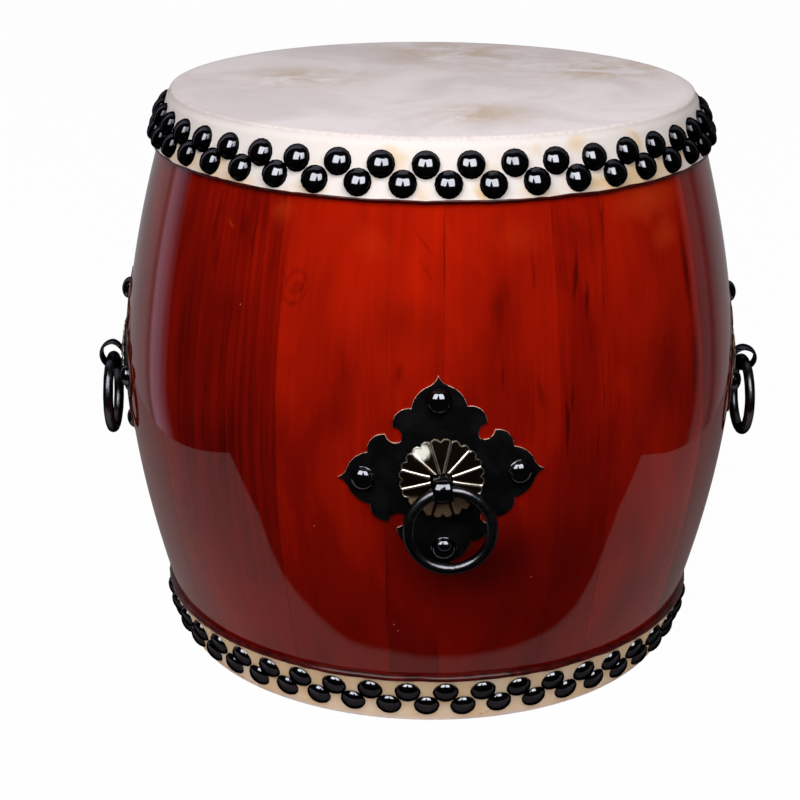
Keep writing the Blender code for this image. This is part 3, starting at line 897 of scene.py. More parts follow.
def bead_profile(height):
    """From the outside of the upper skirt, over its cut edge, to the wood below."""
    edge = DRUM_HEIGHT - SKIRT_DEPTH
    outer = hide_radius(edge) + BEAD_LAP
    wood = barrel_radius(edge - height) - BEAD_LAP
    under, share = BEAD_START
    points = [(outer - under, edge + BEAD_OVERLAP), (outer, edge + BEAD_OVERLAP * share)]
    for step in range(BEAD_STEPS + 1):
        turn = math.radians(90 * step / BEAD_STEPS)
        radius = wood + (outer - wood) * math.cos(turn) ** BEAD_ROUNDNESS
        points.append((radius, edge - height * math.sin(turn)))
    return points


def make_bead(name, upper):
    profile = bead_profile(BEAD_HEIGHTS["top" if upper else "bottom"])
    bead = turned(name, for_end(profile, upper), BEAD_SEGMENTS)
    for corner in bead.data.vertices:
        outward = outward_at(corner.co)
        swell = BEAD_SWELL * noise.noise(outward * 60 + Vector((0, 0, 3 if upper else 7)))
        corner.co += Vector((0, 0, edge_wave(outward, upper))) + outward * swell
    if sum(face.normal.dot(face.center.xy.to_3d()) for face in bead.data.polygons) < 0:
        turn_over(bead)
    return smooth(bead, 60)


bead_finish = new_finish("lacquer_bead", 0.4, coat=0.45, coat_roughness=0.05, specular=0.1)
bead_cloud = cloud(bead_finish, object_place(bead_finish), 120.0)
bead_red = ramp(bead_finish, bead_cloud, [(0.40, BEAD_DARK), (0.62, BEAD_RED)])
to_shader(bead_finish, bead_red, "Base Color")
for name, upper in (("lacquer_bead_top", True), ("lacquer_bead_bottom", False)):
    bead = make_bead(name, upper)
    bead.data.materials.append(bead_finish)
    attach(bead, "root")
    report(bead)

# %% [markdown]
# ## Black metal
# The tacks and studs are glossy black domes, the plates are smooth black sheet, and the rings are
# black iron with a rougher, slightly pitted skin. One helper makes them all from a base of near
# black, with a cloudy roughness and a bump whose size is what tells them apart. Along the edges of
# the front and back plates the black has worn off, and a second finish shows the metal, with
# painted light and shade: bright where an edge looks up and dark where it looks down.
# %% Black metal materials
DOME_BLACK = (0.150, 0.155, 0.175)
DOME_WORN = (0.115, 0.120, 0.135)
RING_BLACK = (0.115, 0.115, 0.130)
BLACK = (0.0030, 0.0030, 0.0036)
BLACK_WORN = (0.0085, 0.0080, 0.0090)
# Painted shade on the domes' rims and lower parts, so that they mirror less there
RIM_SHADE = (0.010, 0.009, 0.011)
BARE_EDGE_LIT = (0.95, 0.58, 0.44)
BARE_DARK_AND_SHADE = (0.10, 0.03, 0.02)
# Domes, rings and straps mirror like dark metal, without the white glint at a low angle
MIRRORING = {"metallic": 1.0, "edge_tint": (0.06, 0.06, 0.07, 1)}


def make_black(name, colours, roughness, pit_scale, pit_depth, **values):
    finish = new_finish(name, roughness, **values)
    place = object_place(finish)
    wear = cloud(finish, place, 60.0, detail=4.0, roughness=0.6)
    colour = ramp(finish, wear, [(0.45, colours[0]), (0.75, colours[1])])
    # Painted shade where the attribute rim says so; only the tacks have it
    colour = blended(finish, read_attribute(finish, "rim"), colour, RIM_SHADE)
    to_shader(finish, colour, "Base Color")
    to_shader(finish, spread(finish, wear, 0.3, 0.8, roughness * 0.8, roughness * 1.4), "Roughness")
    pits = cloud(finish, place, pit_scale, detail=3.0, roughness=0.6)
    add_bump(finish, pits, pit_depth, 0.6)
    return finish


def make_worn_edge_with_light():
    finish = new_finish("worn_edge_lit_and_shaded", 0.45, metallic=0.4)
    wear = cloud(finish, object_place(finish), 260.0)
    bare = ramp(finish, wear, [(0.36, BARE_DARK_AND_SHADE), (0.50, BARE_EDGE_LIT)])
    # Painted light and shade: bright metal where the edge looks up, dark where it looks down
    upward = spread(finish, read_attribute(finish, "upward"), -0.35, 0.45)
    to_shader(finish, blended(finish, upward, BARE_DARK_AND_SHADE, bare), "Base Color")
    return finish


black, iron = (BLACK, BLACK_WORN), (RING_BLACK, DOME_WORN)
tack_finish = make_black("black_dome", (DOME_BLACK, DOME_WORN), 0.07, 260.0, 0.00002, **MIRRORING)
plate_finish = make_black("black_sheet", black, 0.30, 500.0, 0.00003, specular=0.05)
ring_finish = make_black("black_iron", iron, 0.23, 900.0, 0.00010, **MIRRORING)
eye_finish = make_black("black_strap", iron, 0.09, 420.0, 0.00003, **MIRRORING)
edge_finish = make_worn_edge_with_light()
print("domes", DOME_BLACK, "sheet", BLACK, "iron", RING_BLACK)

# %% [markdown]
# ## The tacks
# Each end is nailed with two staggered rows of domed tacks. One flat dome is turned, low in faces
# because it is repeated so often, and copied to every place. A tack driven by hand leans, here
# towards the nearer end of the drum, so its wall reaches well into the hide and no gap shows
# under its rim. The attribute rim paints shade into the black: round the rim of an upper tack,
# and over all but the top of a lower tack, so that they mirror less there.
# %% Make the tacks
TACK_HEIGHT = 0.0054
TACK_CROWN = 1.12
TACK_TURNS = (0, 20, 41, 65, 90)
TACK_SEGMENTS = 16


def rim_shade_of_upper(x, y):
    """Painted shade all round the rim, for a place in a dome of radius 1."""
    return clamp(4 * math.hypot(x, y) - 2.9)


def rim_shade_of_lower(x, y):
    """Painted shade but for the top of the dome, which sees the lamps."""
    return 0.78 * clamp(3.2 - 4 * y)


def make_tack_heads(name, places, radius, lean, lift, slide, seat, rim_shade_at):
    profile = []
    for turn in TACK_TURNS:
        turn = math.radians(turn)
        height = TACK_HEIGHT * max(0, math.cos(turn)) ** TACK_CROWN
        profile.append((radius * math.sin(turn), height))
    pattern = turned("tack", profile + [(radius, -seat)], TACK_SEGMENTS)
    paint(pattern, "rim", lambda place: rim_shade_at(place.x / radius, place.y / radius))
    leaning = Matrix.Translation((0, slide, lift)) @ rotation(lean, "X")
    heads = [copy_of(pattern, "tack", place @ leaning) for place in places]
    bpy.data.objects.remove(pattern)
    return smooth(join_all(name, heads), 50)


# Radius, lean in degrees, height of the rim off the hide, how far up it sits, and its wall's depth
UPPER_TACK = (0.0096, -15.5, 0.0014, 0.0, 0.0054)
LOWER_TACK = (0.0097, 6.0, -0.0004, -0.0022, 0.0030)
for name, node_name, places, sizes, rim_shade_at in (
    ("upper_tack_heads", "tacks_top", top_tacks, UPPER_TACK, rim_shade_of_upper),
    ("lower_tack_heads", "tacks_bottom", bottom_tacks, LOWER_TACK, rim_shade_of_lower),
):
    heads = make_tack_heads(name, places, *sizes, rim_shade_at)
    heads.data.materials.append(tack_finish)
    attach(heads, "root")
    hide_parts(node_name)
    report(heads)

# %% [markdown]
# ## The handles
# All four handles are alike: a lobed black plate, a gilt rosette, a bent strap whose loop is the
# eye, a ring that hangs in it, and four domed studs. They were set by hand, so the front one sits
# a little lower and its strap is turned a few degrees. Each kind of piece is modelled once, in
# the frame of a handle whose -Y points out of the wood, and copied to the four sides. A thin one
# is modelled flat, which is easier, and each copy is then wrapped over the belly at its height.
# %% Handle frames
Handle = namedtuple("Handle", "azimuth level plate_tilt eye_tilt ring_slide")
HANDLES = {
    "front": Handle(0, 0.2126, 2.4, 7.0, 0.0019),
    "right": Handle(90, 0.2200, 2.4, 0.0, 0.0),
    "back": Handle(180, 0.2200, 2.4, 0.0, 0.0),
    "left": Handle(270, 0.2228, 0.0, 0.0, 0.0),
}
EYE_DROP = 0.0024
LOOP_CENTRE = 0.0127
RING_DROP = 0.0020
# How each ring hangs in its eye: down, out, and turned about the upright, in degrees
RING_HANG = {
    "front": (0.0005, 0.0014, 0.0),
    "right": (0.0000, 0.0018, 2.0),
    "back": (0.0000, 0.0010, 0.0),
    "left": (-0.0006, 0.0013, -1.4),
}
GAP = 0.0003


def handle_frame(side):
    """On the wood, at the middle of a side's plate."""
    azimuth, level = HANDLES[side].azimuth, HANDLES[side].level
    middle = Matrix.Translation(on_barrel(barrel_radius(level), azimuth, level))
    return middle @ rotation(azimuth, "Z")


def eye_frame(side):
    """The handle's frame, lowered to the eye and turned with it."""
    lowered = handle_frame(side) @ Matrix.Translation((0, 0, -EYE_DROP))
    return lowered @ rotation(-HANDLES[side].eye_tilt, "Y")


def ring_frame(side):
    """The eye's frame, moved to the wire of the ring that hangs in it."""
    down, out, turn = RING_HANG[side]
    place = (HANDLES[side].ring_slide, -LOOP_CENTRE - out, -RING_DROP - down)
    return eye_frame(side) @ Matrix.Translation(place) @ rotation(turn, "Z")


def tilted(side, place):
    """Turns a point of a flat piece by the tilt of its side's plate."""
    return rotation(-HANDLES[side].plate_tilt, "Y").to_3x3() @ place


def wrapped(level, place):
    """Bends a flat piece's point over the belly at a level. Its -Y is its height off the wood."""
    middle = barrel_radius(level)
    radius = barrel_radius(level + place.z) - place.y
    turn = place.x / middle
    return Vector((radius * math.sin(turn), middle - radius * math.cos(turn), place.z))


def stand_for(piece, node_name, body="root"):
    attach(piece, body)
    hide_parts(node_name)


def place_on_sides(pattern, frame_of, node_name, body="root", shape=None):
    """Copies a pattern to the four sides, each copy shaped for its side and standing for a node."""
    for side in HANDLES:
        piece = copy_of(pattern, f"{pattern.name}_{side}", Matrix())
        if shape:
            for corner in piece.data.vertices:
                corner.co = shape(side, corner.co)
        settle(piece, frame_of(side))
        stand_for(piece, f"{node_name}_{side}", body.format(side=side))
    report(piece)
    bpy.data.objects.remove(pattern)


# %% [markdown]
# ### Plate
# The outline has eight equal parts, each of four arcs: up the tip, round a lobe, round a
# shoulder and into a notch. A circle primitive with that many points becomes the outline; Bisect
# cuts the flat sheet in squares so that it can bend later; Solidify makes it thick and a bevel
# eases its edges. The side faces and the bevel get the worn finish.
# %% Make the plates
PLATE = 0.0012
PLATE_GAP = 0.0003
PLATE_FACE = PLATE_GAP + PLATE
PLATE_SQUARE = 0.005
PLATE_TIP = (0.0, 0.0725)
# The arcs of an eighth, from the tip on: where each ends, its bulge to the left, and its steps
PLATE_ARCS = (
    ((0.0070, 0.0652), -0.0012, 5), ((0.0193, 0.0503), 0.0026, 9),
    ((0.0323, 0.0375), 0.0046, 10), ((0.0272, 0.0272), -0.0032, 7),
)
PLATE_BEVEL = 0.00055


def arc(start, end, bulge, steps):
    """Points after start and up to end, on an arc that stands bulge to the left of its chord."""
    start, end = Vector(start), Vector(end)
    chord = end - start
    half = chord.length / 2
    radius = (half**2 + bulge**2) / (2 * abs(bulge))
    side = math.copysign(1, bulge)
    left = Vector((-chord.y, chord.x)).normalized() * side
    centre = (start + end) / 2 + left * (abs(bulge) - radius)
    sweep = -side * 4 * math.atan2(abs(bulge), half)
    return [
        centre + Matrix.Rotation(sweep * number / steps, 2) @ (start - centre)
        for number in range(1, steps + 1)
    ]


def plate_outline():
    """An eighth, from the tip to the notch, is mirrored and turned to make it all."""
    eighth = [Vector(PLATE_TIP)]
    begin = PLATE_TIP
    for end, bulge, steps in PLATE_ARCS:
        eighth += arc(begin, end, bulge, steps)
        begin = end
    quarter = eighth + [point.yx for point in reversed(eighth[:-1])]
    outline = []
    for number in range(4):
        turn = Matrix.Rotation(math.radians(-90 * number), 2)
        outline += [turn @ point for point in quarter[:-1]]
    return outline


def face_outwards(piece):
    """Turns an open sheet of a handle so that its faces look out of the wood."""
    if sum(face.normal.y * face.area for face in piece.data.polygons) > 0:
        turn_over(piece)


def filled(name, outline):
    """One face with the outline's places as its corners."""
    piece = start_from(
        name, bpy.ops.mesh.primitive_circle_add, vertices=len(outline), radius=1, fill_type="NGON"
    )
    for corner, place in zip(piece.data.vertices, outline):
        corner.co = place
    return piece


def make_plate():
    outline = [(place.x, -PLATE_GAP, place.y) for place in plate_outline()]
    plate = filled("lobed_plate", outline)
    edit(plate)
    reach = int(PLATE_TIP[1] / PLATE_SQUARE)
    for normal in ((1, 0, 0), (0, 0, 1)):
        for number in range(-reach, reach + 1):
            bpy.ops.mesh.select_all(action="SELECT")
            cut_place = [number * PLATE_SQUARE * part for part in normal]
            bpy.ops.mesh.bisect(plane_co=cut_place, plane_no=normal)
    leave_edit()
    clean_up(plate, 0.000001)
    face_outwards(plate)
    apply_modifier(plate, "SOLIDIFY", thickness=PLATE, offset=1.0)
    sharp = {"limit_method": "ANGLE", "angle_limit": math.radians(50)}
    apply_modifier(plate, "BEVEL", width=PLATE_BEVEL, segments=2, **sharp)
    return smooth(plate, 40)


def give_edge_finish(piece, slant):
    """Puts the second finish on the faces that don't look straight out of the wood."""
    mesh = edit(piece, "FACE")
    chosen = choose(mesh, mesh.faces, lambda face: abs(face.normal.y) < slant)
    piece.active_material_index = 1
    bpy.ops.object.material_slot_assign()
    leave_edit()
    return chosen


def over_belly(side, place):
    return wrapped(HANDLES[side].level, tilted(side, place))


plate = make_plate()
# Worn edges, with painted light and shade: bright where they look up, dark where they look down
store(plate, "upward", [corner.normal.z for corner in plate.data.vertices])
plate.data.materials.append(plate_finish)
plate.data.materials.append(edge_finish)
print("worn faces of a plate:", give_edge_finish(plate, 0.96))
place_on_sides(plate, handle_frame, "plate", shape=over_belly)
# The side plates' edges get the dark end all round, as painted shade
for side in ("left", "right"):
    upward = bpy.data.objects[f"lobed_plate_{side}"].data.attributes["upward"]
    upward.data.foreach_set("value", [-1.0] * len(upward.data))

# %% [markdown]
# ### Studs
# Four large domed studs hold each plate. They are turned like the tacks, with more faces, a thin
# flange and the spike that goes into the wood.
# %% Make the studs
STUD_REACH = 0.0545
STUD_RADIUS = 0.009
STUD_HEIGHT = 0.0062
STUD_FLANGE = 0.0005
STUD_SPIKE_RADIUS = 0.0015
STUD_SPIKE = 0.0105
STUD_RINGS = 10
STUD_SEGMENTS = 40


def stud_profile():
    points = []
    dome = STUD_RADIUS - STUD_FLANGE
    for ring in range(STUD_RINGS + 1):
        turn = math.radians(86 * ring / STUD_RINGS)
        height = STUD_FLANGE + (STUD_HEIGHT - STUD_FLANGE) * math.cos(turn)
        points.append((dome * math.sin(turn), height))
    points += [(STUD_RADIUS, STUD_FLANGE * 0.8), (STUD_RADIUS, 0)]
    return points + [(STUD_SPIKE_RADIUS, 0), (0, -STUD_SPIKE)]


def stud_frames(level, tilt):
    """Frames of the four studs in the frame of a handle with its level and tilt."""
    frames = {}
    middle = barrel_radius(level)
    for name, turn in (("right", 0), ("top", 90), ("left", 180), ("bottom", 270)):
        turn = math.radians(turn + tilt)
        x = STUD_REACH * math.cos(turn)
        z = level + STUD_REACH * math.sin(turn)
        placed = outward_frame(barrel_radius, math.degrees(x / middle), z)
        placed.translation -= Vector((0, -middle, level))
        frames[name] = placed @ Matrix.Translation((0, 0, PLATE_FACE))
    return frames


stud = smooth(turned("domed_stud", stud_profile(), STUD_SEGMENTS), 40)
stud.data.materials.append(tack_finish)
for side, handle in HANDLES.items():
    for place, placed in stud_frames(handle.level, handle.plate_tilt).items():
        piece = copy_of(stud, f"domed_stud_{side}_{place}", handle_frame(side) @ placed)
        stand_for(piece, f"stud_{side}_{place}")
report(piece)
bpy.data.objects.remove(stud)

# %% [markdown]
# ### Rosette
# A gilt flower of twelve petals sits under the eye. Neighbouring petals share a raised bar, and
# each petal's end is a raised lip notched like a heart. The sunk fields between are painted dark
# brown, a painted reflection of the dark room they face, and dull tan in the lower petals, a
# painted reflection of the pale table below, where the bars get painted shade too. One petal is a
# grid whose columns keep a real distance from its sides, so the bars have the same width all
# along. Spin copies it twelve times. Dark fields, tan ones, a painted highlight on one upper petal
# and the brown crests of the top bars are attributes that the material reads.
# %% Gilt material
GILT = (0.96, 0.90, 0.80)
GILT_SHADE = (0.60, 0.46, 0.28)
GILT_BROWN = (0.26, 0.15, 0.085)
GILT_SHADED = (0.060, 0.040, 0.026)
GILT_HIGHLIGHT = (0.97, 0.96, 0.88)
DARK_ROOM_REFLECTION = (0.020, 0.010, 0.006)
TABLE_REFLECTION_TAN = (0.23, 0.15, 0.09)


def make_gilt():
    finish = new_finish("gilt_brass", 0.30)
    place = object_place(finish)
    tarnish = cloud(finish, place, 170.0, detail=4.0, roughness=0.6)
    bright = ramp(finish, tarnish, [(0.50, GILT), (0.74, GILT_SHADE)])
    tan = read_attribute(finish, "tan")
    painted_highlight = read_attribute(finish, "painted_highlight")
    bright = blended(finish, read_attribute(finish, "brown"), bright, GILT_BROWN)
    # Painted shade: the bars of the lower petals are darker
    bright = blended(finish, tan, bright, GILT_SHADED)
    # Painted reflections in the sunk fields: dark for the room above, tan for the table below
    dull = blended(finish, tan, DARK_ROOM_REFLECTION, TABLE_REFLECTION_TAN)
    dark = spread(finish, read_attribute(finish, "field"), 0.35, 0.75)
    colour = blended(finish, dark, bright, dull)
    # A painted highlight on one upper petal, where it mirrors a lamp
    to_shader(finish, blended(finish, painted_highlight, colour, GILT_HIGHLIGHT), "Base Color")
    matt = calculate(finish, "MULTIPLY", calculate(finish, "MAXIMUM", tan, 0.2), dark)
    matt = calculate(finish, "MAXIMUM", matt, painted_highlight)
    to_shader(finish, calculate(finish, "SUBTRACT", 1.0, matt), "Metallic")
    add_bump(finish, cloud(finish, place, 600.0, detail=2.0), 0.00004, 0.5)
    return finish


gilt_finish = make_gilt()
print(gilt_finish.name, len(gilt_finish.node_tree.nodes), "nodes")

# %% Petal sizes
PETALS = 12
PETAL_INNER = 0.0064
PETAL_SHOULDER = 0.0260
PETAL_LOBE = 0.0027
PETAL_MIDDLE = 0.0009
ROSETTE_SHEET = 0.0009
ROSETTE_RISE = 0.0023
ROSETTE_RIDGE = 0.0008
ROSETTE_HOLE = (0.0150, 0.0144)
HOLE_REACH = 0.0150
# Distances from a petal's side and from its end, each with the share of the ridge's height
BAR_STEPS = ((0.0, 1.0), (0.00034, 0.94), (0.00066, 0.74), (0.00094, 0.38), (0.00116, 0.0))
END_STEPS = (
    (0.0, 0.30), (0.00012, 0.80), (0.00030, 1.0), (0.00056, 0.80), (0.00074, 0.4), (0.00092, 0.0),
)
PETAL_COLUMNS = 3
PETAL_ROWS = 10


def petal_end(across):
    """Distance of the petal's end from the centre, for across from 0 in its middle to 1."""
    lobe = abs(math.sin(math.pi * across)) ** 0.6
    return PETAL_SHOULDER + PETAL_LOBE * lobe + PETAL_MIDDLE * (1 - across)


def petal_columns(half):
    """(x, height) across a petal that is twice half wide: a bar, the field and a bar."""
    squeeze = min(1, half / (1.3 * BAR_STEPS[-1][0]))
    one_side = [(half - step * squeeze, height) for step, height in BAR_STEPS]
    last = one_side[-1][0]
    shares = [1 - number / PETAL_COLUMNS for number in range(1, PETAL_COLUMNS + 1)]
    one_side += [(last * share, 0.0) for share in shares]
    return [(-x, height) for x, height in one_side] + one_side[-2::-1]


def petal_places():
    """Rows of (x, z, height, field) for one petal that points up."""
    widening = math.tan(math.pi / PETALS)
    outer = petal_columns(PETAL_SHOULDER * widening)
    ends = [petal_end(abs(x) / outer[-1][0]) for x, _ in outer]
    levels = [(row / PETAL_ROWS, END_STEPS[-1][0], 0.0, 1.0) for row in range(PETAL_ROWS)]
    for number, (step, height) in reversed(list(enumerate(END_STEPS))):
        levels.append((1.0, step, height, height if number < 2 else 1.0))
    rows = []
    for share, step, lip, fall in levels:
        line = []
        for column, end in enumerate(ends):
            along = PETAL_INNER + (end - step - PETAL_INNER) * share
            x, bar = petal_columns(along * widening)[column]
            height = max(bar * fall, lip)
            line.append((x, along, height, 1.0 if height == 0 else 0.0))
        rows.append(line)
    return rows


print("a petal has", len(petal_places()), "rows of", len(petal_places()[0]))

# %% Make the rosettes
# Below this level the petals carry the painted reflection of the pale table, fading in over the
# next
TABLE_REFLECTION_BELOW = -0.011
TABLE_REFLECTION_FADE = 0.004
# Where one upper petal carries a painted highlight, and how far it reaches
PAINTED_HIGHLIGHT_PLACE = Vector((-0.0130, 0, 0.0203))
PAINTED_HIGHLIGHT_REACH = 0.0054
BROWN_WIDTH = 0.0085
BROWN_REACH = 0.0005


def painted_highlight_at(place):
    """A painted highlight on one upper petal, where it mirrors a lamp: 1 there, and 0 a few
    millimetres away.
    """
    away = Vector((place.x, 0, place.z)) - PAINTED_HIGHLIGHT_PLACE
    return min(1, 2.0 * math.exp(-((away.length / PAINTED_HIGHLIGHT_REACH) ** 6)))


def brown_at(place):
    """The crests of the two bars beside the top petal are painted brown: 1 there."""
    if place.z < 0 or abs(place.x) > BROWN_WIDTH:
        return 0
    half = math.pi / PETALS
    from_bar = abs(abs(place.x) - place.z * math.tan(half)) * math.cos(half)
    return max(0, 1 - from_bar / BROWN_REACH)


def make_rosette():
    rows = petal_places()
    squares = {"x_subdivisions": len(rows[0]) - 1, "y_subdivisions": len(rows) - 1}
    rosette = start_from("gilt_rosette", bpy.ops.mesh.primitive_grid_add, size=1, **squares)
    places = [place for row in rows for place in row]
    for corner, (x, z, height, _) in zip(rosette.data.vertices, places):
        corner.co = (x, -height * ROSETTE_RIDGE, z)
    store(rosette, "field", [field for *_, field in places])
    edit_all(rosette)
    bpy.ops.mesh.spin(steps=PETALS, angle=math.tau, dupli=True, center=(0, 0, 0), axis=(0, 1, 0))
    leave_edit()
    top = PLATE_FACE + GAP + ROSETTE_SHEET
    reach = PETAL_SHOULDER + PETAL_LOBE
    for corner in rosette.data.vertices:
        x, z = corner.co.x, corner.co.z
        rise = ROSETTE_RISE * (reach - math.hypot(x, z)) / (reach - PETAL_INNER)
        corner.co = (x, corner.co.y - top - max(0, rise), z)
    clean_up(rosette, 0.00003)
    face_outwards(rosette)
    apply_modifier(rosette, "SOLIDIFY", thickness=ROSETTE_SHEET, offset=-1.0)
    paint(rosette, "tan", lambda place: clamp((TABLE_REFLECTION_BELOW - place.z) / TABLE_REFLECTION_FADE))
    paint(rosette, "painted_highlight", painted_highlight_at)
    paint(rosette, "brown", brown_at)
    return smooth(rosette, 60)


def hole_edge(direction, eye_turn):
    """Distance from the rosette's middle to the edge of its hole, in a flat direction."""
    turn = Matrix.Rotation(math.radians(-eye_turn), 2)
    reaches = []
    for side, begin, step in zip(ROSETTE_HOLE, turn @ Vector((0, EYE_DROP)), turn @ direction):
        if abs(step) > 0.000001:
            reaches.append((math.copysign(side / 2, step) - begin) / step)
    return min(reaches)


def round_eye(side, place):
    """Draws the rosette's inner points back to the edge of a square hole, and bends it all."""
    place = tilted(side, place)
    flat = Vector((place.x, place.z))
    radius = flat.length
    if radius < HOLE_REACH:
        edge = hole_edge(flat / radius, HANDLES[side].eye_tilt)
        share = max(0, radius - PETAL_INNER) / (HOLE_REACH - PETAL_INNER)
        flat *= (edge + (HOLE_REACH - edge) * share) / radius
    return wrapped(HANDLES[side].level, Vector((flat.x, place.y, flat.y)))


rosette = make_rosette()
rosette.data.materials.append(gilt_finish)
place_on_sides(rosette, handle_frame, "rosette", shape=round_eye)

# %% [markdown]
# ### Eye strap
# The eye is a strap bent round the ring: both legs go through the wood and turn up and down
# inside. It is a section extruded from station to station along the strap's middle line, as one
# would extrude and rotate by hand. The section's outer face is flat in the middle and rounded
# towards its sides, so it shows two small highlights and not one broad flat one.
# %% Make the eye straps
STRAP_WIDTH = 0.0137
STRAP = 0.0020
STRAP_CROWN = 0.0016
STRAP_SLANT = 0.052
STRAP_CROWN_POINTS = (0.97, 0.88, 0.74, 0.56, 0.36, 0.18, 0.0)
LOOP_RADIUS = 0.0089
LOOP_REACH = 0.0105
# Hammered by hand, no two loops are alike: how tall each is, and how far up and out it stands
LOOP_SHAPES = {
    "front": (1.00, -0.0008, 0.0),
    "right": (1.06, 0.0004, 0.0006),
    "back": (1.0, 0.0, 0.0),
    "left": (1.20, 0.0020, -0.0006),
}
LOOP_STEPS = 22
LEG_SPREAD = 0.0015
LEG_CORNER = 0.0016
FILLET = 0.0020
FILLET_STEPS = 5
BENT_LEG = 0.0150
WASHER = 0.0015
WASHER_STANDOFF = 0.0027
LEG_BEND = WALL + WASHER_STANDOFF + WASHER + GAP + STRAP / 2
SECTION_EDGE = 0.0002


def strap_line():
    """Half of the strap's middle line, in Y and Z: from the bent tip, out, and round the loop."""
    points = [Vector((LEG_BEND, BENT_LEG)), Vector((LEG_BEND, LEG_SPREAD + 2 * LEG_CORNER))]
    for step in range(1, 5):
        turn = math.radians(90 * step / 4)
        y = LEG_BEND - LEG_CORNER * (1 - math.cos(turn))
        points.append(Vector((y, LEG_SPREAD + LEG_CORNER * (1 - math.sin(turn)))))
    spread_out = LEG_SPREAD + FILLET
    from_loop = math.sqrt((LOOP_RADIUS + FILLET) ** 2 - spread_out**2)
    fillet_centre = Vector((from_loop - LOOP_CENTRE, spread_out))
    loop_centre = Vector((-LOOP_CENTRE, 0))
    to_loop = loop_centre - fillet_centre
    last = math.atan2(to_loop.y, to_loop.x) % math.tau
    first = math.radians(270)
    for number in range(FILLET_STEPS + 1):
        turn = first + (last - first) * number / FILLET_STEPS
        points.append(fillet_centre + FILLET * Vector((math.cos(turn), math.sin(turn))))
    begin = math.atan2(-to_loop.y, -to_loop.x)
    for number in range(1, LOOP_STEPS // 2 + 1):
        turn = begin + (math.pi - begin) * number / (LOOP_STEPS // 2)
        reach = LOOP_RADIUS if math.cos(turn) > 0 else LOOP_REACH
        points.append(loop_centre + Vector((reach * math.cos(turn), LOOP_RADIUS * math.sin(turn))))
    return points


def strap_section():
    """Points of the section, X across the strap and Y through it: crowned, and a little aslant."""
    half = STRAP_WIDTH / 2
    top = STRAP / 2
    right = [(half - SECTION_EDGE, -top), (half, -top + SECTION_EDGE)]
    right.append((half, top - STRAP_CROWN - SECTION_EDGE / 2))
    right += [(half * share, top - STRAP_CROWN * share**3) for share in STRAP_CROWN_POINTS]
    outline = right + [(-x, y) for x, y in reversed(right[:-1])]
    return [(x, y + STRAP_SLANT * x) for x, y in outline]


def swept(name, section, stations):
    """Extrudes a section along stations, which are matrices that place it."""
    piece = filled(name, [stations[0] @ Vector((x, y, 0)) for x, y in section])
    edit_all(piece, "FACE")
    for before, after in zip(stations, stations[1:]):
        bpy.ops.mesh.extrude_region_move()
        mesh = bmesh.from_edit_mesh(piece.data)
        step = after @ before.inverted()
        for corner in [corner for corner in mesh.verts if corner.select]:
            corner.co = step @ corner.co
        bmesh.update_edit_mesh(piece.data)
    leave_edit()
    return clean_up(piece)


def strap_stations():
    half = strap_line()
    line = half + [Vector((point.x, -point.y)) for point in reversed(half[:-1])]
    stations = []
    for number, point in enumerate(line):
        before = line[max(number - 1, 0)]
        after = line[min(number + 1, len(line) - 1)]
        along = Vector((0, *(after - before).normalized()))
        across = Vector((1, 0, 0))
        out = along.cross(across)
        station = Matrix((across, out, across.cross(out))).transposed().to_4x4()
        station.translation = (0, point.x, point.y)
        stations.append(station)
    return stations


def hammered(side, place):
    """Shapes the loop of a side's eye, and leaves its legs in the wood as they are."""
    taller, up, out = LOOP_SHAPES[side]
    share = clamp(-place.y / LOOP_CENTRE)
    z = place.z * (1 + (taller - 1) * share) + up * share
    return Vector((place.x, place.y - out * share, z))


eye = smooth(swept("eye_strap", strap_section(), strap_stations()), 35)
eye.data.materials.append(eye_finish)
place_on_sides(eye, eye_frame, "eye", shape=hammered)

# %% [markdown]
# ### Ring
# The ring is cast or forged iron, a torus that is not quite even: a slow noise swells and thins
# the wire a little, and the seam where the bar was closed shows as a small dent at the bottom.
# %% Make the rings
RING_DIAMETER = 0.066
RING_WIRE = 0.008
RING_UNEVEN = 0.00012
SEAM_WIDTH = 0.0012
SEAM_DEPTH = 0.0004
RING_MIDDLE = (RING_DIAMETER - RING_WIRE) / 2


def make_ring():
    sizes = {"major_radius": RING_MIDDLE, "minor_radius": RING_WIRE / 2}
    steps = {"major_segments": 120, "minor_segments": 24}
    ring = start_from("iron_ring", bpy.ops.mesh.primitive_torus_add, **steps, **sizes)
    settle(ring, rotation(90, "X"))
    for corner in ring.data.vertices:
        turn = math.atan2(corner.co.z, corner.co.x)
        wire_middle = Vector((math.cos(turn), 0, math.sin(turn))) * RING_MIDDLE
        away = (corner.co - wire_middle).normalized()
        from_seam = abs(turn + math.radians(90)) * RING_MIDDLE
        uneven = RING_UNEVEN * noise.noise(corner.co * 160)
        corner.co += away * (uneven - SEAM_DEPTH * bell(from_seam, SEAM_WIDTH))
    return smooth(settle(ring, Matrix.Translation((0, 0, -RING_MIDDLE))), 60)


ring = make_ring()
ring.data.materials.append(ring_finish)
place_on_sides(ring, ring_frame, "ring", body="handle_{side}")

# %% [markdown]
# ### Washers
# Inside the drum each strap's legs are bent over a small iron plate. Its CAD shape is already
# right, so it stays and only gets a better material.
# %% Dress the washers
washer_finish = make_black("washer_iron", black, 0.5, 300.0, 0.0001)
for side in HANDLES:
    washer = frame["nodes"][f"washer_{side}"]
    washer.data.materials.clear()
    washer.data.materials.append(washer_finish)
print(len(HANDLES), "washers keep their CAD shape")

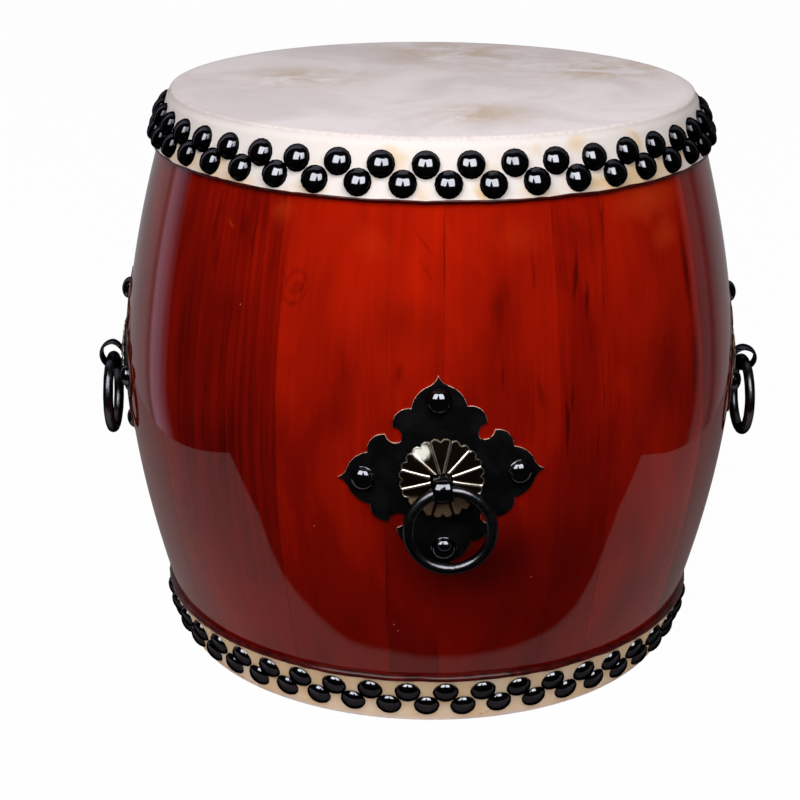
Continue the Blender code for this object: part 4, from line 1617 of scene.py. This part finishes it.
# %% [markdown]
# ## Floor, light and camera
# The real drum stood on a pale table in a dark studio, lit by two big soft lamps side by side
# above the camera. That is easy to read from the picture: every domed tack shows two bright
# windows, and the lacquer mirrors the table's straight front edge as a dark curve. So the stage
# is a table that ends just in front of the drum, two lamps, and a world that is pale behind the
# drum and dark in front of it. The camera itself sees plain white behind everything.
# %% Camera
CAMERA_PLACE = (-0.05686, -1.41581, 0.69539)
CAMERA_YAW = -1.366
CAMERA_PITCH = -19.927
CAMERA_ROLL = 0.319
CAMERA_LENS = 83.46

camera_data = bpy.data.cameras.new("camera")
camera_data.lens = CAMERA_LENS
camera_data.sensor_width = 36.0
camera_data.clip_start = 0.05
camera = bpy.data.objects.new("camera", camera_data)
scene.collection.objects.link(camera)
turn = rotation(CAMERA_YAW, "Z") @ rotation(90 + CAMERA_PITCH, "X") @ rotation(CAMERA_ROLL, "Z")
camera.matrix_world = Matrix.Translation(CAMERA_PLACE) @ turn
scene.camera = camera
print("camera at", tuple(round(value, 3) for value in camera.location))

# %% Table and floor
# Front edge of the table from left to right: the lacquer mirrors its slight waves
TABLE_EDGE = (
    (-0.60, -0.259), (-0.45, -0.267), (-0.36, -0.270), (-0.29, -0.257), (-0.24, -0.250),
    (-0.16, -0.252), (-0.10, -0.251), (-0.05, -0.259), (0.01, -0.258), (0.06, -0.253),
    (0.11, -0.243), (0.15, -0.234), (0.19, -0.230), (0.24, -0.233), (0.31, -0.243), (0.39, -0.252),
    (0.48, -0.244), (0.60, -0.236),
)
TABLE_FADE = 0.016
TABLE_BACK = 0.90
FLOOR_SIZE = 12.0
# Both lie just under the drum
FLOOR_PLACE = (0, 0, -0.0002)
TABLE_PLACE = (0, 0, -0.0004)
FLOOR_WHITE = 0.98
PALE = (0.86, 0.86, 0.87)
PALE_GREY = (0.88, 0.88, 0.88)
TABLE_PALE = (0.88, 0.80, 0.79)
TABLE_WARM = (0.86, 0.78, 0.76)
# The lacquer mirrors the table dimmed: from this X to that one, from this share to that one
TABLE_DIMMING = (-0.3, 0.5, 0.48, 0.57)


def split(owner, place):
    """X, Y and Z of a place."""
    parts = add_node(owner, "SeparateXYZ")
    wire(owner, place, parts.inputs[0])
    return parts.outputs


def shade_partly(owner, first, second, kind):
    """Mixes two named shaders of a material or a world. Returns the socket of their amount."""
    nodes = owner.node_tree.nodes
    mixed = add_node(owner, "MixShader")
    for socket, name in zip(mixed.inputs[1:3], (first, second)):
        if name:
            wire(owner, nodes[name].outputs[0], socket)
    wire(owner, mixed.outputs[0], nodes[f"{kind} Output"].inputs["Surface"])
    return mixed.inputs[0]


def make_floor_finish():
    """A pale surface. The camera sees it partly as pure white, and the rest keeps the shadow."""
    finish = new_finish("pale_floor", 0.9)
    mottle = cloud(finish, object_place(finish), 3.0, detail=2.0)
    to_shader(finish, ramp(finish, mottle, [(0.3, PALE), (0.7, PALE_GREY)]), "Base Color")
    white = add_node(finish, "Emission", strength=1.0)
    share = shade_partly(finish, "Principled BSDF", white.name, "Material")
    share.default_value = FLOOR_WHITE
    return finish


def make_table_finish():
    """A pale table that the lacquer mirrors dimmed, more so on the right, and soft at its edge."""
    finish = new_finish("table_top", 0.9)
    place = object_place(finish)
    mottle = ramp(finish, cloud(finish, place, 4.0), [(0.3, TABLE_PALE), (0.7, TABLE_WARM)])
    to_shader(finish, mottle, "Base Color")
    dimming = spread(finish, split(finish, place)["X"], *TABLE_DIMMING)
    dimming = calculate(finish, "MAXIMUM", dimming, read_attribute(finish, "edge"))
    mirrored = add_node(finish, "LightPath").outputs["Is Glossy Ray"]
    dimming = calculate(finish, "MULTIPLY", dimming, mirrored)
    wire(finish, dimming, shade_partly(finish, "Principled BSDF", None, "Material"))
    return finish


floor = start_from("floor", bpy.ops.mesh.primitive_plane_add, size=FLOOR_SIZE, location=FLOOR_PLACE)
floor.data.materials.append(make_floor_finish())
floor.visible_glossy = False
floor.visible_diffuse = False
floor.visible_shadow = False

settings = {"x_subdivisions": len(TABLE_EDGE) - 1, "y_subdivisions": 2, "location": TABLE_PLACE}
table = start_from("table", bpy.ops.mesh.primitive_grid_add, size=1, **settings)
for number, corner in enumerate(table.data.vertices):
    row, column = divmod(number, len(TABLE_EDGE))
    x, y = TABLE_EDGE[column]
    corner.co.xy = (x, (y, y + TABLE_FADE, TABLE_BACK)[row])
front_row = len(TABLE_EDGE)
store(table, "edge", [1.0] * front_row + [0.0] * (len(table.data.vertices) - front_row))
table.visible_camera = False
table.data.materials.append(make_table_finish())
print("the table's front edge has", len(TABLE_EDGE), "points")

# %% Lamps
LAMP_DISTANCE = 1.9
LAMP_HEIGHT_ANGLE = 41.0
LAMP_AZIMUTHS = (-31.5, 18.5)
LAMP_SIZE = (1.05, 1.30)
LAMP_POWER = 21.0
LAMP_WHITE = (1, 0.99, 0.97)
DRUM_MIDDLE = Vector((0, 0, DRUM_HEIGHT / 2))


def add_lamp(name, azimuth):
    """A soft rectangular lamp that faces the middle of the drum."""
    data = bpy.data.lights.new(name, "AREA")
    data.shape = "RECTANGLE"
    data.size, data.size_y = LAMP_SIZE
    data.energy = LAMP_POWER
    data.color = LAMP_WHITE
    lamp = bpy.data.objects.new(name, data)
    scene.collection.objects.link(lamp)
    angle = math.radians(LAMP_HEIGHT_ANGLE)
    away = on_barrel(math.cos(angle), azimuth, math.sin(angle))
    lamp.location = DRUM_MIDDLE + away * LAMP_DISTANCE
    lamp.rotation_euler = away.to_track_quat("Z", "Y").to_euler()
    lamp.visible_camera = False


for number, azimuth in enumerate(LAMP_AZIMUTHS, 1):
    add_lamp(f"window_lamp_{number}", azimuth)
print(len(LAMP_AZIMUTHS), "lamps of", LAMP_POWER, "W")

# %% World
# Greys of the room by azimuth, as the lacquer mirrors them, each with its green's share
ROOM_GREYS = (
    (-180, 0.32, 0.97), (-134, 0.33, 0.97), (-131.5, 0.19, 0.97), (-129.5, 0.20, 0.97),
    (-127.5, 0.72, 0.80), (-122, 0.52, 0.78), (-117, 0.20, 0.75), (-114, 0.01, 0.97),
    (112, 0.01, 0.97), (115, 0.15, 0.97), (124, 0.17, 0.97), (127, 0.07, 0.97), (129, 0.08, 0.97),
    (132, 0.17, 0.97), (140, 0.27, 0.97), (180, 0.32, 0.97),
)


def make_world():
    """Grey behind the drum and dark in front of it, and white wherever the camera looks past."""
    world = bpy.data.worlds.new("studio")
    world.use_nodes = True
    direction = split(world, add_node(world, "TexCoord").outputs["Generated"])
    forwards = calculate(world, "MULTIPLY", direction["Y"], -1)
    azimuth = calculate(world, "ARCTAN2", direction["X"], forwards)
    share = add_node(world, "MapRange", from_min=-math.pi, from_max=math.pi)
    wire(world, azimuth, share.inputs["Value"])
    stops = [(turn / 360 + 0.5, (grey, grey * green, grey)) for turn, grey, green in ROOM_GREYS]
    room = world.node_tree.nodes["Background"]
    wire(world, ramp(world, share.outputs["Result"], stops), room.inputs["Color"])
    white = add_node(world, "Background", color=(1, 1, 1, 1))
    seen = add_node(world, "LightPath").outputs["Is Camera Ray"]
    wire(world, seen, shade_partly(world, room.name, white.name, "World"))
    return world


scene.world = make_world()
scene.view_settings.view_transform = "Standard"
